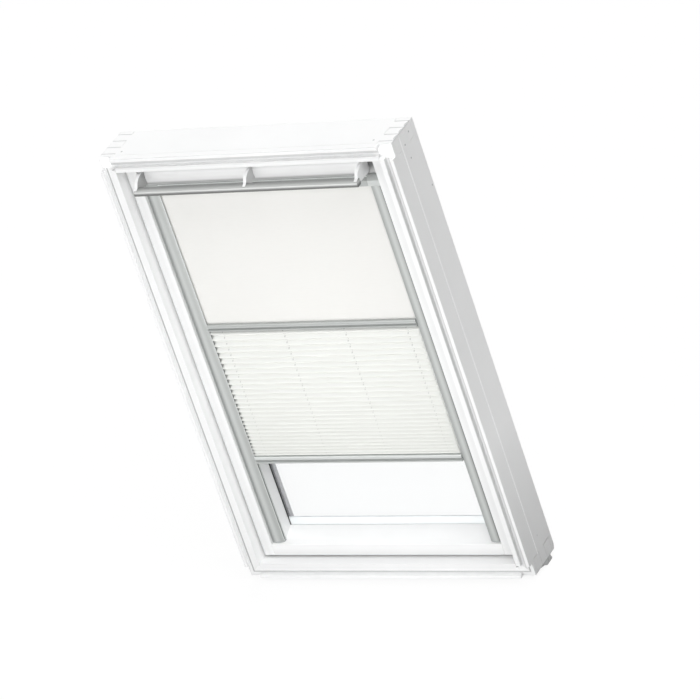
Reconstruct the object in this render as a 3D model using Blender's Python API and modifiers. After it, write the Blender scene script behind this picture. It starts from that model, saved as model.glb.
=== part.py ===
"""A centre-pivot roof window with a duo blind: a rolled blackout cloth above a pleated cloth."""
import math

import bmesh
import bpy
from mathutils import Euler, Matrix, Vector

# Everything is in metres. X runs across the window, Z up the window, and Y out through the roof.
# Depths (Y) are counted from the room side of the frame's front lips, heights from the frame's foot.

# Overall sizes of the frame
FRAME_WIDTH = 0.780
FRAME_HEIGHT = 1.180
FRAME_DEPTH = 0.129

# Clearances
GAP = 0.0003
RUNNING_GAP = 0.0004
SASH_GAP = 0.006

# Frame members: an outer lip, a lining groove and an inner ridge on the room side
MEMBER = 0.039
LIP = 0.009
GROOVE = 0.017
GROOVE_DEPTH = 0.014
RIDGE_SETBACK = 0.004
LIP_STOP = 0.0335
COMB_PITCH = 0.029
COMB_FIRST = 0.027
OUTER_GROOVE_Y = 0.051
OUTER_GROOVE = 0.002
OUTER_GROOVE_STOP = 0.0065
OUTER_GROOVE_FOOT = 0.034
TOP_SCORE_Y = 0.019
TOP_SCORE = 0.0010
EDGE_ROUND = 0.0008

# Sill rail under the frame, and the cut along the frame's rear foot
SILL_DROP = 0.013
SILL_FRONT_Y = 0.044
SILL_NOSE_Y = 0.062
SILL_KEEL_Y = 0.075
SILL_BACK_Y = 0.104
REAR_CUT_DEPTH = 0.005
REAR_CUT_HEIGHT = 0.012
SHEET = 0.0012

# Sash members
SASH_FRONT_Y = 0.030
SASH_BACK_Y = 0.110
SASH_FACE = 0.030
SASH_LEDGE = 0.031
SASH_LEDGE_Y = 0.0503
SASH_ROUND = 0.005
REBATE_Y = 0.0883
REBATE = 0.016
SILL_STEP_Z = 0.033
SILL_STEP_Y = 0.052
SILL_RISE = 0.018
HEAD_FRONT_Y = 0.047
HEAD_HEIGHT = 0.0465
HEAD_BEAD_Y = 0.074
HEAD_BEAD = 0.067

# Glazing
PANE = 0.004
PANE_Y = 0.090
SPACER = 0.012
PANE_COVERED = 0.015
GASKET = 0.0011
GASKET_SHOWS = 0.002
SPACER_SHOWS = 0.006

# Pivot hinges
HINGE_PLATE = 0.0023
HINGE_PLATE_WIDTH = 0.041
HINGE_PLATE_HEIGHT = 0.120
PIVOT_RADIUS = 0.0075
PIVOT_REACH = 0.0075

# Seal in the frame
SEAL = 0.0025
SEAL_Y = 0.100
SEAL_WIDTH = 0.008

# Outside covers
COVER_RISE = 0.0037
COVER_INSET = 0.004
HOOD_RISE = 0.008
HOOD_INSET = 0.007
HOOD_SIDE_INSET = 0.0068
HOOD_HEIGHT = 0.062
SASH_COVER_RISE = 0.0057
SASH_COVER_WIDTH = 0.054

# Ventilation flap and control bar, heights counted down from the frame's top
FLAP_INSET = 0.0263
FLAP_CLEARANCE = 0.007
FLAP_HEIGHT = 0.038
FLAP_FRONT_Y = 0.0225
FLAP_BACK_Y = 0.033
FLAP_BULGE = 0.003
FLAP_ROD_Y = 0.040
FLAP_ROD_SET = 0.003
FLAP_ROD_RADIUS = 0.003
FLAP_EYE_RADIUS = 0.006
BRACKET = 0.0085
BRACKET_BACK_Y = 0.038
BAR_OVERHANG = 0.0005
BAR_FRONT_Y = -0.032
BAR_DEPTH = 0.019
BAR_HEIGHT = 0.016
BEARING = 0.012
BEARING_RADIUS = 0.006
BEARING_INSET = 0.0147

# Lock
LOCK_WIDTH = 0.050
LOCK_BOLT_WIDTH = 0.014
LOCK_BOLT = 0.006
LOCK_TRAVEL = 0.008
STRIKER = 0.003

# Blind: head box and roller
HEADBOX_FRONT_Y = 0.036
HEADBOX_BACK_Y = 0.072
HEADBOX_CLEARANCE = 0.0028
HEADBOX_BROW_SET = 0.0127
HEADBOX_SHOULDER_SET = 0.0022
HEADBOX_HEIGHT = 0.0267
HEADBOX_END = 0.0018
HEADBOX_SIDE_GAP = 0.0026
ROLLER_Y = 0.0543
ROLLER_SET = 0.014
ROLLER_RADIUS = 0.006
ROLLER_BORE = 0.0031
ROLL_RADIUS = 0.0087

# Blind: side rails
RAIL_WIDTH = 0.033
RAIL_FRONT_Y = 0.0362
RAIL_SLOT_Y = 0.0450
RAIL_SLOT = 0.0046
RAIL_SLOT_DEPTH = 0.0085
RAIL_END = 0.003

# Blind: the two bars, counted down from the frame's top to the bar's middle
BAR_PROFILE_HEIGHT = 0.0175
BAR_PROFILE_FRONT_Y = 0.0368
MID_BAR_DROP = 0.4905
BOTTOM_BAR_DROP = 0.8640
SLIDER_HEIGHT = 0.015

# Blind: cloths and cords
BLACKOUT = 0.0006
PLEATS = 28
PLEAT_DEPTH = 0.0098
PLEAT_CLOTH = 0.0008
PLEAT_FRONT_Y = 0.0395
PLEAT_TIGHTENING = 0.52
CORD_RADIUS = 0.0006
CORD_INSET = 0.0334

# Derived places
HALF_WIDTH = FRAME_WIDTH / 2
INNER_X = HALF_WIDTH - MEMBER
SASH_X = INNER_X - SASH_GAP
FACE_X = SASH_X - SASH_FACE
LEDGE_X = FACE_X - SASH_LEDGE
RAIL_X = FACE_X - RAIL_WIDTH
SASH_FOOT = MEMBER + SASH_GAP
SASH_HEAD = FRAME_HEIGHT - MEMBER - SASH_GAP
SILL_TOP = SASH_FOOT + SILL_STEP_Z
SILL_CREST = SILL_TOP + SILL_RISE
PIVOT_Z = FRAME_HEIGHT / 2
PIVOT_Y = (SASH_FRONT_Y + SASH_BACK_Y + SASH_COVER_RISE) / 2
RAIL_SPAN = RAIL_X - GAP * 2
RAIL_BACK_Y = SASH_LEDGE_Y - GAP
RAIL_FOOT = SILL_TOP + GAP
PANE_X = LEDGE_X + PANE_COVERED
PANE_FOOT = SILL_CREST - PANE_COVERED - 0.0017
PANE_HEAD = FRAME_HEIGHT - HEAD_BEAD - SASH_FOOT + PANE_COVERED
OUTER_PANE_Y = PANE_Y + PANE + SPACER
WHOLE_FRONT_Y = BAR_FRONT_Y
WHOLE_BACK_Y = FRAME_DEPTH + GAP + HOOD_RISE
MIDDLE_Y = (WHOLE_FRONT_Y + WHOLE_BACK_Y) / 2
FLAP_HALF = FACE_X - FLAP_INSET
FLAP_TOP = MEMBER + FLAP_CLEARANCE
FLAP_FOOT = FLAP_TOP + FLAP_HEIGHT
FLAP_ROD_DROP = FLAP_FOOT + FLAP_ROD_SET
BAR_FOOT = FLAP_FOOT
BAR_HALF_LENGTH = FLAP_HALF + GAP + BRACKET + BAR_OVERHANG
BEARING_X = FLAP_HALF - BEARING_INSET - BEARING
HEADBOX_REACH = LEDGE_X - HEADBOX_SIDE_GAP - HEADBOX_END - GAP
HEADBOX_TOP = SASH_FOOT + HEAD_HEIGHT + HEADBOX_CLEARANCE
HEADBOX_SHOULDER = HEADBOX_TOP + HEADBOX_SHOULDER_SET
HEADBOX_BROW = HEADBOX_TOP + HEADBOX_BROW_SET
HEADBOX_FOOT = HEADBOX_TOP + HEADBOX_HEIGHT
ROLLER_DROP = HEADBOX_TOP + ROLLER_SET
BAR_PROFILE_BACK_Y = RAIL_BACK_Y
CORD_OUTER_X = RAIL_SPAN - CORD_INSET
CORD_INNER_X = CORD_OUTER_X / 3

COLOURS = {
    "white_paint": ((0.90, 0.90, 0.89), 0.45, 0.0),
    "rail_grey": ((0.56, 0.58, 0.57), 0.40, 0.7),
    "brushed": ((0.62, 0.62, 0.60), 0.30, 1.0),
    "cover_grey": ((0.24, 0.25, 0.26), 0.45, 0.6),
    "steel": ((0.55, 0.55, 0.55), 0.35, 1.0),
    "rubber": ((0.05, 0.05, 0.05), 0.80, 0.0),
    "glass": ((0.85, 0.93, 0.92), 0.05, 0.0),
    "spacer": ((0.60, 0.61, 0.62), 0.40, 0.8),
    "blackout": ((0.88, 0.88, 0.84), 0.85, 0.0),
    "pleats": ((0.92, 0.93, 0.91), 0.85, 0.0),
    "cord": ((0.85, 0.85, 0.83), 0.80, 0.0),
    "plastic": ((0.52, 0.54, 0.54), 0.50, 0.0),
}


def clear_scene():
    for obj in list(bpy.data.objects):
        bpy.data.objects.remove(obj, do_unlink=True)


def new_collection(name):
    collection = bpy.data.collections.new(name)
    bpy.context.scene.collection.children.link(collection)
    return collection


clear_scene()
PARTS = new_collection("roof_window_with_blind")
CUTTERS = new_collection("cutters")


def material_for(node, kind):
    colour, roughness, metallic = COLOURS[kind]
    material = bpy.data.materials.new(node + "_" + kind)
    material.use_nodes = True
    shader = material.node_tree.nodes["Principled BSDF"]
    shader.inputs["Base Color"].default_value = (*colour, 1.0)
    shader.inputs["Roughness"].default_value = roughness
    shader.inputs["Metallic"].default_value = metallic
    if kind == "glass":
        shader.inputs["Transmission Weight"].default_value = 0.9
    return material


def empty(name, place, parent=None):
    pivot = bpy.data.objects.new(name, None)
    PARTS.objects.link(pivot)
    if parent is not None:
        pivot.parent = parent
        place = Vector(place) - world_place(parent)
    pivot.location = place
    return pivot


def world_place(obj):
    place = Vector(obj.location)
    while obj.parent is not None:
        obj = obj.parent
        place += Vector(obj.location)
    return place


def outline_mesh(name, outlines, thickness):
    """A closed slab: the first outline is the edge, any others are holes."""
    curve = bpy.data.curves.new(name, "CURVE")
    curve.dimensions = "2D"
    curve.fill_mode = "BOTH"
    curve.extrude = thickness / 2
    for outline in outlines:
        spline = curve.splines.new("POLY")
        spline.points.add(len(outline) - 1)
        for point, (u, v) in zip(spline.points, outline):
            point.co = (u, v, 0.0, 1.0)
        spline.use_cyclic_u = True
    carrier = bpy.data.objects.new(name, curve)
    bpy.context.scene.collection.objects.link(carrier)
    bpy.context.view_layer.update()
    graph = bpy.context.evaluated_depsgraph_get()
    mesh = bpy.data.meshes.new_from_object(carrier.evaluated_get(graph))
    bpy.data.objects.remove(carrier, do_unlink=True)
    bpy.data.curves.remove(curve)
    weld(mesh)
    return mesh


def ribbon_mesh(name, path, length):
    """An open strip that follows a path, for a folded sheet."""
    mesh = bpy.data.meshes.new(name)
    shape = bmesh.new()
    low = [shape.verts.new((u, v, -length / 2)) for u, v in path]
    edges = [shape.edges.new(pair) for pair in zip(low, low[1:])]
    swept = bmesh.ops.extrude_edge_only(shape, edges=edges)["geom"]
    lifted = [item for item in swept if isinstance(item, bmesh.types.BMVert)]
    bmesh.ops.translate(shape, verts=lifted, vec=(0, 0, length))
    shape.to_mesh(mesh)
    shape.free()
    return mesh


def weld(mesh):
    shape = bmesh.new()
    shape.from_mesh(mesh)
    bmesh.ops.remove_doubles(shape, verts=shape.verts, dist=0.00001)
    bmesh.ops.recalc_face_normals(shape, faces=shape.faces)
    shape.to_mesh(mesh)
    shape.free()


TURNS = {"x": (math.pi / 2, 0, math.pi / 2), "y": (math.pi / 2, 0, 0), "z": (0, 0, 0)}


def stand(mesh, along, low, high):
    """Turn a slab that was drawn flat so that its thickness runs along an axis from low to high."""
    middle = {"x": (1, 0, 0), "y": (0, 1, 0), "z": (0, 0, 1)}[along]
    turn = Euler(TURNS[along]).to_matrix().to_4x4()
    mesh.transform(Matrix.Translation(Vector(middle) * (low + high) / 2) @ turn)
    mesh.update()


def place(name, mesh, kind, parent, smooth=False):
    """Make the object, with its origin on its parent's place."""
    obj = bpy.data.objects.new(name, mesh)
    PARTS.objects.link(obj)
    anchor = world_place(parent) - world_place(HOME)
    for vertex in mesh.vertices:
        vertex.co -= anchor
    obj.parent = parent
    mesh.materials.clear()
    mesh.materials.append(material_for(name, kind))
    mesh.shade_flat()
    if smooth:
        mesh.shade_smooth()
        mesh.set_sharp_from_angle(angle=math.radians(35))
    return obj


def prism(name, outlines, along, low, high, kind, parent, smooth=False):
    """outlines are (y, z) along x, (x, z) along y and (x, y) along z."""
    mesh = outline_mesh(name, outlines, high - low)
    stand(mesh, along, low, high)
    return place(name, mesh, kind, parent, smooth)


def folded_sheet(name, path, along, low, high, kind, parent, inward=1.0):
    mesh = ribbon_mesh(name, path, high - low)
    stand(mesh, along, low, high)
    obj = place(name, mesh, kind, parent)
    shell = obj.modifiers.new("thickness", "SOLIDIFY")
    shell.thickness = SHEET
    shell.offset = inward
    shell.use_even_offset = True
    return obj


def box_outline(u0, v0, u1, v1):
    return [(u0, v0), (u1, v0), (u1, v1), (u0, v1)]


def circle(u, v, radius, count):
    steps = [2 * math.pi * i / count for i in range(count)]
    return [(u + radius * math.cos(a), v + radius * math.sin(a)) for a in steps]


def arc(u, v, radius, start, stop, count):
    angles = [math.radians(start + (stop - start) * i / (count - 1)) for i in range(count)]
    return [(u + radius * math.cos(a), v + radius * math.sin(a)) for a in angles]


def cutter(name, outlines, along, low, high, parent):
    mesh = outline_mesh(name, outlines, high - low)
    stand(mesh, along, low, high)
    mesh.shade_flat()
    obj = bpy.data.objects.new(name, mesh)
    CUTTERS.objects.link(obj)
    anchor = world_place(parent) - world_place(HOME)
    for vertex in mesh.vertices:
        vertex.co -= anchor
    obj.parent = parent
    obj.hide_render = True
    obj.display_type = "WIRE"
    return obj


def box_cutter(name, low, high, parent):
    outline = box_outline(low[0], low[1], high[0], high[1])
    return cutter(name, [outline], "z", low[2], high[2], parent)


def boolean(obj, other, operation="DIFFERENCE"):
    step = obj.modifiers.new(operation.lower(), "BOOLEAN")
    step.object = other
    step.operation = operation
    step.solver = "EXACT"


def soften(obj, width=EDGE_ROUND, segments=1):
    bevel = obj.modifiers.new("soft edges", "BEVEL")
    bevel.width = width
    bevel.segments = segments
    bevel.limit_method = "ANGLE"
    bevel.angle_limit = math.radians(40)
    bevel.use_clamp_overlap = True


def mirror(obj, axis, centre=None):
    """Keep the half on the positive side of the plane and repeat it on the other side."""
    step = obj.modifiers.new("mirror", "MIRROR")
    step.use_axis = [axis == name for name in "xyz"]
    step.use_bisect_axis = [axis == name for name in "xyz"]
    step.merge_threshold = 0.00001
    step.mirror_object = centre


def flip(outline, side):
    return [(side * u, v) for u, v in outline]


def down(outline):
    """Heights given as drops from the frame's top become heights above its foot."""
    return [(y, FRAME_HEIGHT - drop) for y, drop in outline]


# Places that the bodies hang from
HOME = empty("window_home", (0, -MIDDLE_Y, SILL_DROP))
SASH = empty("sash_pivot", (0, PIVOT_Y - MIDDLE_Y, PIVOT_Z + SILL_DROP), HOME)
FLAP_DROP_Z = FRAME_HEIGHT - FLAP_ROD_DROP
FLAP = empty("flap_pivot", (0, FLAP_ROD_Y - MIDDLE_Y, FLAP_DROP_Z + SILL_DROP), SASH)
BOLT = empty("bolt_guide", (0, FLAP_BACK_Y - MIDDLE_Y, FLAP_DROP_Z + SILL_DROP), SASH)
ROLLER_Z = FRAME_HEIGHT - ROLLER_DROP
ROLLER = empty("roller_axis", (0, ROLLER_Y - MIDDLE_Y, ROLLER_Z + SILL_DROP), SASH)
MID_Z = FRAME_HEIGHT - MID_BAR_DROP
MID = empty("mid_bar_guide", (0, RAIL_SLOT_Y - MIDDLE_Y, MID_Z + SILL_DROP), SASH)
BOTTOM_Z = FRAME_HEIGHT - BOTTOM_BAR_DROP
BOTTOM = empty("bottom_bar_guide", (0, RAIL_SLOT_Y - MIDDLE_Y, BOTTOM_Z + SILL_DROP), MID)


def comb_slots():
    """Depth ranges that the top and bottom members' fingers fill; the side members fill the rest."""
    first = (COMB_FIRST, COMB_FIRST + COMB_PITCH)
    second = (COMB_FIRST + 2 * COMB_PITCH, COMB_FIRST + 3 * COMB_PITCH)
    return [first, second]


def member_profile(outer):
    """The lipped and grooved profile, from the outer face inward, as (place, depth)."""
    ridge = outer - LIP - GROOVE
    inner = outer - MEMBER
    return [(outer, 0.0), (outer, FRAME_DEPTH), (inner, FRAME_DEPTH), (inner, RIDGE_SETBACK),
            (ridge, RIDGE_SETBACK), (ridge, GROOVE_DEPTH), (outer - LIP, GROOVE_DEPTH),
            (outer - LIP, 0.0)]


def frame_side(label, side):
    profile = flip(member_profile(HALF_WIDTH), side)
    name = "frame_side_" + label
    obj = prism(name, [profile], "z", 0.0, FRAME_HEIGHT, "white_paint", HOME)
    soften(obj)
    far = 0.01
    outer, inner = side * (HALF_WIDTH + far), side * (INNER_X - far)
    low_x, high_x = min(outer, inner), max(outer, inner)
    start = FRAME_HEIGHT - MEMBER - GAP
    for number, (front, back) in enumerate(comb_slots()):
        slot = box_cutter(f"{name}_comb_{number}", (low_x, front - GAP / 2, start),
                          (high_x, back + GAP / 2, FRAME_HEIGHT + far), HOME)
        boolean(obj, slot)
    lip_end = box_cutter(name + "_lip_end", (low_x, -far, FRAME_HEIGHT - LIP_STOP),
                         (high_x, GROOVE_DEPTH, FRAME_HEIGHT + far), HOME)
    boolean(obj, lip_end)
    mirror(obj, "z", MIDDLE)
    pocket = cutter(name + "_pivot_pocket",
                    [circle(PIVOT_Y, PIVOT_Z, PIVOT_RADIUS + RUNNING_GAP * 2, 24)], "x",
                    *sorted((side * (INNER_X - far), side * (INNER_X + PIVOT_REACH))), HOME)
    boolean(obj, pocket)
    boolean(obj, outer_groove(name, side))
    boolean(obj, rear_cut(name))


def outer_groove(name, side):
    """A shallow score down the frame's outer face."""
    over = OUTER_GROOVE
    edge = side * HALF_WIDTH
    outline = [(edge - side * OUTER_GROOVE, OUTER_GROOVE_Y),
               (edge + side * over, OUTER_GROOVE_Y - OUTER_GROOVE - over),
               (edge + side * over, OUTER_GROOVE_Y + OUTER_GROOVE + over)]
    label = "right" if side > 0 else "left"
    return cutter(f"{name}_outer_groove_{label}", [outline], "z", OUTER_GROOVE_FOOT,
                  FRAME_HEIGHT - OUTER_GROOVE_STOP, HOME)


def rear_cut(name):
    far = 0.01
    past = REAR_CUT_HEIGHT * (1 + far / REAR_CUT_DEPTH)
    outline = [(FRAME_DEPTH - REAR_CUT_DEPTH, -far), (FRAME_DEPTH - REAR_CUT_DEPTH, 0.0),
               (FRAME_DEPTH + far, past), (FRAME_DEPTH + far, -far)]
    return cutter(name + "_rear_cut", [outline], "x", -HALF_WIDTH - far, HALF_WIDTH + far, HOME)


def frame_end(name, foot):
    """The top member, or the bottom member when foot is true."""
    profile = [(depth, spot) for spot, depth in member_profile(FRAME_HEIGHT)]
    if foot:
        profile = [(depth, FRAME_HEIGHT - spot) for depth, spot in profile]
    obj = prism(name, [profile], "x", -HALF_WIDTH, HALF_WIDTH, "white_paint", HOME)
    soften(obj)
    far = 0.01
    slots = comb_slots()
    edges = [GROOVE_DEPTH - GAP, slots[0][0] + GAP / 2, slots[0][1] - GAP / 2,
             slots[1][0] + GAP / 2, slots[1][1] - GAP / 2, FRAME_DEPTH + far]
    low_z = -far if foot else FRAME_HEIGHT - MEMBER - far
    high_z = MEMBER + far if foot else FRAME_HEIGHT + far
    for number in range(0, 6, 2):
        notch = box_cutter(f"{name}_notch_{number}", (INNER_X - GAP, edges[number], low_z),
                           (HALF_WIDTH + far, edges[number + 1], high_z), HOME)
        boolean(obj, notch)
    ridge_low, ridge_high = (LIP, MEMBER + far) if foot else (low_z, FRAME_HEIGHT - LIP)
    ridge_end = box_cutter(name + "_ridge_end", (INNER_X - GAP, -far, ridge_low),
                           (HALF_WIDTH + far, edges[1], ridge_high), HOME)
    boolean(obj, ridge_end)
    lip_end = box_cutter(name + "_lip_end", (HALF_WIDTH - LIP_STOP, -far, low_z),
                         (HALF_WIDTH + far, edges[1], high_z), HOME)
    boolean(obj, lip_end)
    if not foot:
        score = box_cutter(name + "_score", (-HALF_WIDTH * 2, TOP_SCORE_Y, FRAME_HEIGHT - TOP_SCORE),
                           (HALF_WIDTH - LIP_STOP, TOP_SCORE_Y + TOP_SCORE, FRAME_HEIGHT + far),
                           HOME)
        boolean(obj, score)
    mirror(obj, "x", HOME)
    if not foot:
        boolean(obj, striker_pocket())
    for side in (-1, 1):
        boolean(obj, outer_groove(name, side))
    if foot:
        boolean(obj, rear_cut(name))


def striker_pocket():
    low = FRAME_HEIGHT - MEMBER
    return box_cutter("striker_pocket", (-LOCK_WIDTH / 2 - GAP, FLAP_BACK_Y, low - 0.01),
                      (LOCK_WIDTH / 2 + GAP, HEAD_FRONT_Y, low + STRIKER + GAP), HOME)


MIDDLE = empty("frame_middle", (0, -MIDDLE_Y, PIVOT_Z + SILL_DROP), HOME)


def build_frame():
    for label, side in (("left", -1), ("right", 1)):
        frame_side(label, side)
    frame_end("frame_top", False)
    frame_end("frame_bottom", True)
    striker()
    frame_seal()
    sill_rail()
    frame_covers()


def striker():
    """The strike plate, let in flush, with a slot for the lock's bolt."""
    low = FRAME_HEIGHT - MEMBER
    plate = box_outline(-LOCK_WIDTH / 2, FLAP_BACK_Y + GAP, LOCK_WIDTH / 2, HEAD_FRONT_Y - GAP)
    reach = LOCK_BOLT_WIDTH / 2 + 0.001
    middle = (FLAP_BACK_Y + HEAD_FRONT_Y) / 2
    half = LOCK_BOLT / 2 + 0.001
    slot = box_outline(-reach, middle - half, reach, middle + half)
    prism("lock_striker", [plate, slot], "z", low, low + STRIKER, "steel", HOME)


def frame_seal():
    outer = box_outline(-INNER_X + GAP, MEMBER + GAP, INNER_X - GAP, FRAME_HEIGHT - MEMBER - GAP)
    rim = GAP + SEAL
    inner = box_outline(-INNER_X + rim, MEMBER + rim, INNER_X - rim, FRAME_HEIGHT - MEMBER - rim)
    prism("frame_seal", [outer, inner], "y", SEAL_Y, SEAL_Y + SEAL_WIDTH, "rubber", HOME)


def sill_rail():
    """A ledge under the frame that sits on the roof's lower batten."""
    ease = 0.002
    outline = [(SILL_FRONT_Y, -GAP), (SILL_NOSE_Y, -SILL_DROP * 0.4),
               (SILL_KEEL_Y - ease, -SILL_DROP + ease / 2), (SILL_KEEL_Y + ease, -SILL_DROP),
               (SILL_BACK_Y - ease, -SILL_DROP), (SILL_BACK_Y, -SILL_DROP + ease),
               (SILL_BACK_Y - ease * 2, -GAP)]
    prism("sill_rail", [outline], "x", -HALF_WIDTH, HALF_WIDTH, "white_paint", HOME)


def frame_covers():
    low_y, high_y = FRAME_DEPTH + GAP, FRAME_DEPTH + GAP + COVER_RISE
    hood_foot = FRAME_HEIGHT - HOOD_INSET - HOOD_HEIGHT
    cover_foot = MEMBER
    for label, side in (("left", -1), ("right", 1)):
        near, far = side * (INNER_X + GAP), side * (HALF_WIDTH - COVER_INSET)
        path = [(far, low_y), (far, high_y), (near, high_y), (near, low_y)]
        folded_sheet("frame_cover_" + label, path, "z", cover_foot, hood_foot - GAP,
                     "cover_grey", HOME, side)
    foot = [(low_y, REAR_CUT_HEIGHT), (high_y, REAR_CUT_HEIGHT), (high_y, MEMBER - GAP * 2),
            (low_y, MEMBER - GAP * 2)]
    folded_sheet("frame_cover_bottom", foot, "x", COVER_INSET - HALF_WIDTH,
                 HALF_WIDTH - COVER_INSET, "cover_grey", HOME, 1)
    hood_y = low_y + HOOD_RISE
    head = FRAME_HEIGHT - HOOD_INSET
    hood = [(low_y, hood_foot), (hood_y, hood_foot), (hood_y, head), (low_y, head)]
    folded_sheet("frame_hood", hood, "x", HOOD_SIDE_INSET - HALF_WIDTH,
                 HALF_WIDTH - HOOD_SIDE_INSET, "cover_grey", HOME, 1)


def build_sash():
    for label, side in (("left", -1), ("right", 1)):
        sash_side(label, side)
        pivot_hinge(label, side)
    sash_bottom()
    sash_top()
    glazing()
    sash_covers()


def sash_bottom_outline():
    """The bottom member seen from its end, from its upper front edge round to its foot."""
    return [(SASH_FRONT_Y, SILL_TOP - 0.002), (SASH_FRONT_Y + 0.0006, SILL_TOP - 0.0006),
            (SASH_FRONT_Y + 0.002, SILL_TOP), (SILL_STEP_Y, SILL_TOP),
            (REBATE_Y, SILL_CREST), (REBATE_Y, PANE_FOOT - GAP),
            (SASH_BACK_Y, PANE_FOOT - GAP), (SASH_BACK_Y, SASH_FOOT)]


def sash_bottom():
    outline = sash_bottom_outline() + arc(SASH_FRONT_Y + SASH_ROUND, SASH_FOOT + SASH_ROUND,
                                          SASH_ROUND, 270, 180, 5)
    prism("sash_bottom", [outline], "x", GAP - FACE_X, FACE_X - GAP, "white_paint", SASH, True)


def sash_top_outline():
    return down([(HEAD_FRONT_Y, SASH_FOOT), (SASH_BACK_Y, SASH_FOOT),
                 (SASH_BACK_Y, FRAME_HEIGHT - PANE_HEAD - GAP),
                 (REBATE_Y, FRAME_HEIGHT - PANE_HEAD - GAP), (REBATE_Y, SASH_FOOT + HEAD_BEAD),
                 (HEAD_BEAD_Y, SASH_FOOT + HEAD_BEAD), (HEAD_BEAD_Y, SASH_FOOT + HEAD_HEIGHT),
                 (HEAD_FRONT_Y, SASH_FOOT + HEAD_HEIGHT)])


def sash_top():
    prism("sash_top", [sash_top_outline()], "x", GAP - FACE_X, FACE_X - GAP, "white_paint", SASH)


def sash_side(label, side):
    name = "sash_side_" + label
    outline = arc(SASH_X - SASH_ROUND, SASH_FRONT_Y + SASH_ROUND, SASH_ROUND, 0, -90, 5)
    outline += [(FACE_X, SASH_FRONT_Y), (FACE_X, SASH_LEDGE_Y), (LEDGE_X, SASH_LEDGE_Y),
                (LEDGE_X, REBATE_Y), (LEDGE_X + REBATE, REBATE_Y),
                (LEDGE_X + REBATE, SASH_BACK_Y), (SASH_X, SASH_BACK_Y)]
    obj = prism(name, [flip(outline, side)], "z", SASH_FOOT, SASH_HEAD, "white_paint", SASH, True)
    reach = sorted((side * (LEDGE_X - 0.01), side * FACE_X))
    far = 0.01
    foot = [(SASH_FRONT_Y - far, SASH_FOOT - far), (SASH_FRONT_Y - far, SILL_TOP),
            (SILL_STEP_Y, SILL_TOP + GAP), (REBATE_Y + GAP, SILL_CREST + GAP),
            (REBATE_Y + GAP, PANE_FOOT), (SASH_BACK_Y + far, PANE_FOOT),
            (SASH_BACK_Y + far, SASH_FOOT - far)]
    boolean(obj, cutter(name + "_foot_cut", [foot], "x", *reach, SASH))
    corner = arc(SASH_FRONT_Y + SASH_ROUND, SASH_FOOT + SASH_ROUND, SASH_ROUND, 270, 180, 5)
    corner += [(SASH_FRONT_Y - far, SASH_FOOT + SASH_ROUND), (SASH_FRONT_Y - far, SASH_FOOT - far),
               (SASH_FRONT_Y + SASH_ROUND, SASH_FOOT - far)]
    wide = sorted((side * (FACE_X - far), side * (SASH_X + far)))
    boolean(obj, cutter(name + "_foot_round", [corner], "x", *wide, SASH))
    high = FRAME_HEIGHT
    head = down([(HEAD_FRONT_Y - GAP, SASH_FOOT - far), (SASH_BACK_Y + far, SASH_FOOT - far),
                 (SASH_BACK_Y + far, high - PANE_HEAD), (REBATE_Y + GAP, high - PANE_HEAD),
                 (REBATE_Y + GAP, SASH_FOOT + HEAD_BEAD + GAP),
                 (HEAD_BEAD_Y - GAP, SASH_FOOT + HEAD_BEAD + GAP),
                 (HEAD_BEAD_Y - GAP, SASH_FOOT + HEAD_HEIGHT + GAP),
                 (HEAD_FRONT_Y - GAP, SASH_FOOT + HEAD_HEIGHT + GAP)])
    boolean(obj, cutter(name + "_head_cut", [head], "x", *reach, SASH))


def pivot_hinge(label, side):
    """Two plates that turn on one pin halfway up the window."""
    half_w, half_h = HINGE_PLATE_WIDTH / 2, HINGE_PLATE_HEIGHT / 2
    plate = box_outline(PIVOT_Y - half_w, PIVOT_Z - half_h, PIVOT_Y + half_w, PIVOT_Z + half_h)
    hole = circle(PIVOT_Y, PIVOT_Z, PIVOT_RADIUS + RUNNING_GAP, 24)
    outer = INNER_X - GAP
    prism("frame_hinge_" + label, [plate, hole], "x",
          *sorted((side * (outer - HINGE_PLATE), side * outer)), "steel", HOME)
    small = box_outline(PIVOT_Y - half_w * 0.8, PIVOT_Z - half_h * 0.8, PIVOT_Y + half_w * 0.8,
                        PIVOT_Z + half_h * 0.8)
    inner = SASH_X + GAP
    arm = prism("sash_hinge_" + label, [small], "x",
                *sorted((side * inner, side * (inner + HINGE_PLATE))), "steel", SASH)
    pin = cutter("pivot_pin_" + label, [circle(PIVOT_Y, PIVOT_Z, PIVOT_RADIUS, 24)], "x",
                 *sorted((side * (inner + HINGE_PLATE / 2),
                          side * (INNER_X + PIVOT_REACH - GAP * 2))), SASH)
    boolean(arm, pin, "UNION")


def ring(name, reach, foot, head, width, low_y, high_y, kind, foot_width=None):
    """A flat rectangular ring across the glass."""
    outer = box_outline(-reach, foot, reach, head)
    step = width if foot_width is None else foot_width
    inner = box_outline(-reach + width, foot + step, reach - width, head - width)
    prism(name, [outer, inner], "y", low_y, high_y, kind, SASH)


def glazing():
    for name, low in (("inner_pane", PANE_Y), ("outer_pane", OUTER_PANE_Y)):
        outline = box_outline(-PANE_X, PANE_FOOT, PANE_X, PANE_HEAD)
        prism(name, [outline], "y", low, low + PANE - GAP, "glass", SASH)
    ring("pane_spacer", PANE_X, PANE_FOOT, PANE_HEAD, PANE_COVERED + SPACER_SHOWS, PANE_Y + PANE,
         OUTER_PANE_Y - GAP, "spacer", PANE_COVERED)
    ring("glazing_gasket", PANE_X, PANE_FOOT, PANE_HEAD, PANE_COVERED + GASKET_SHOWS,
         REBATE_Y + GAP, REBATE_Y + GAP + GASKET, "rubber", PANE_COVERED - 0.001)


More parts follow.
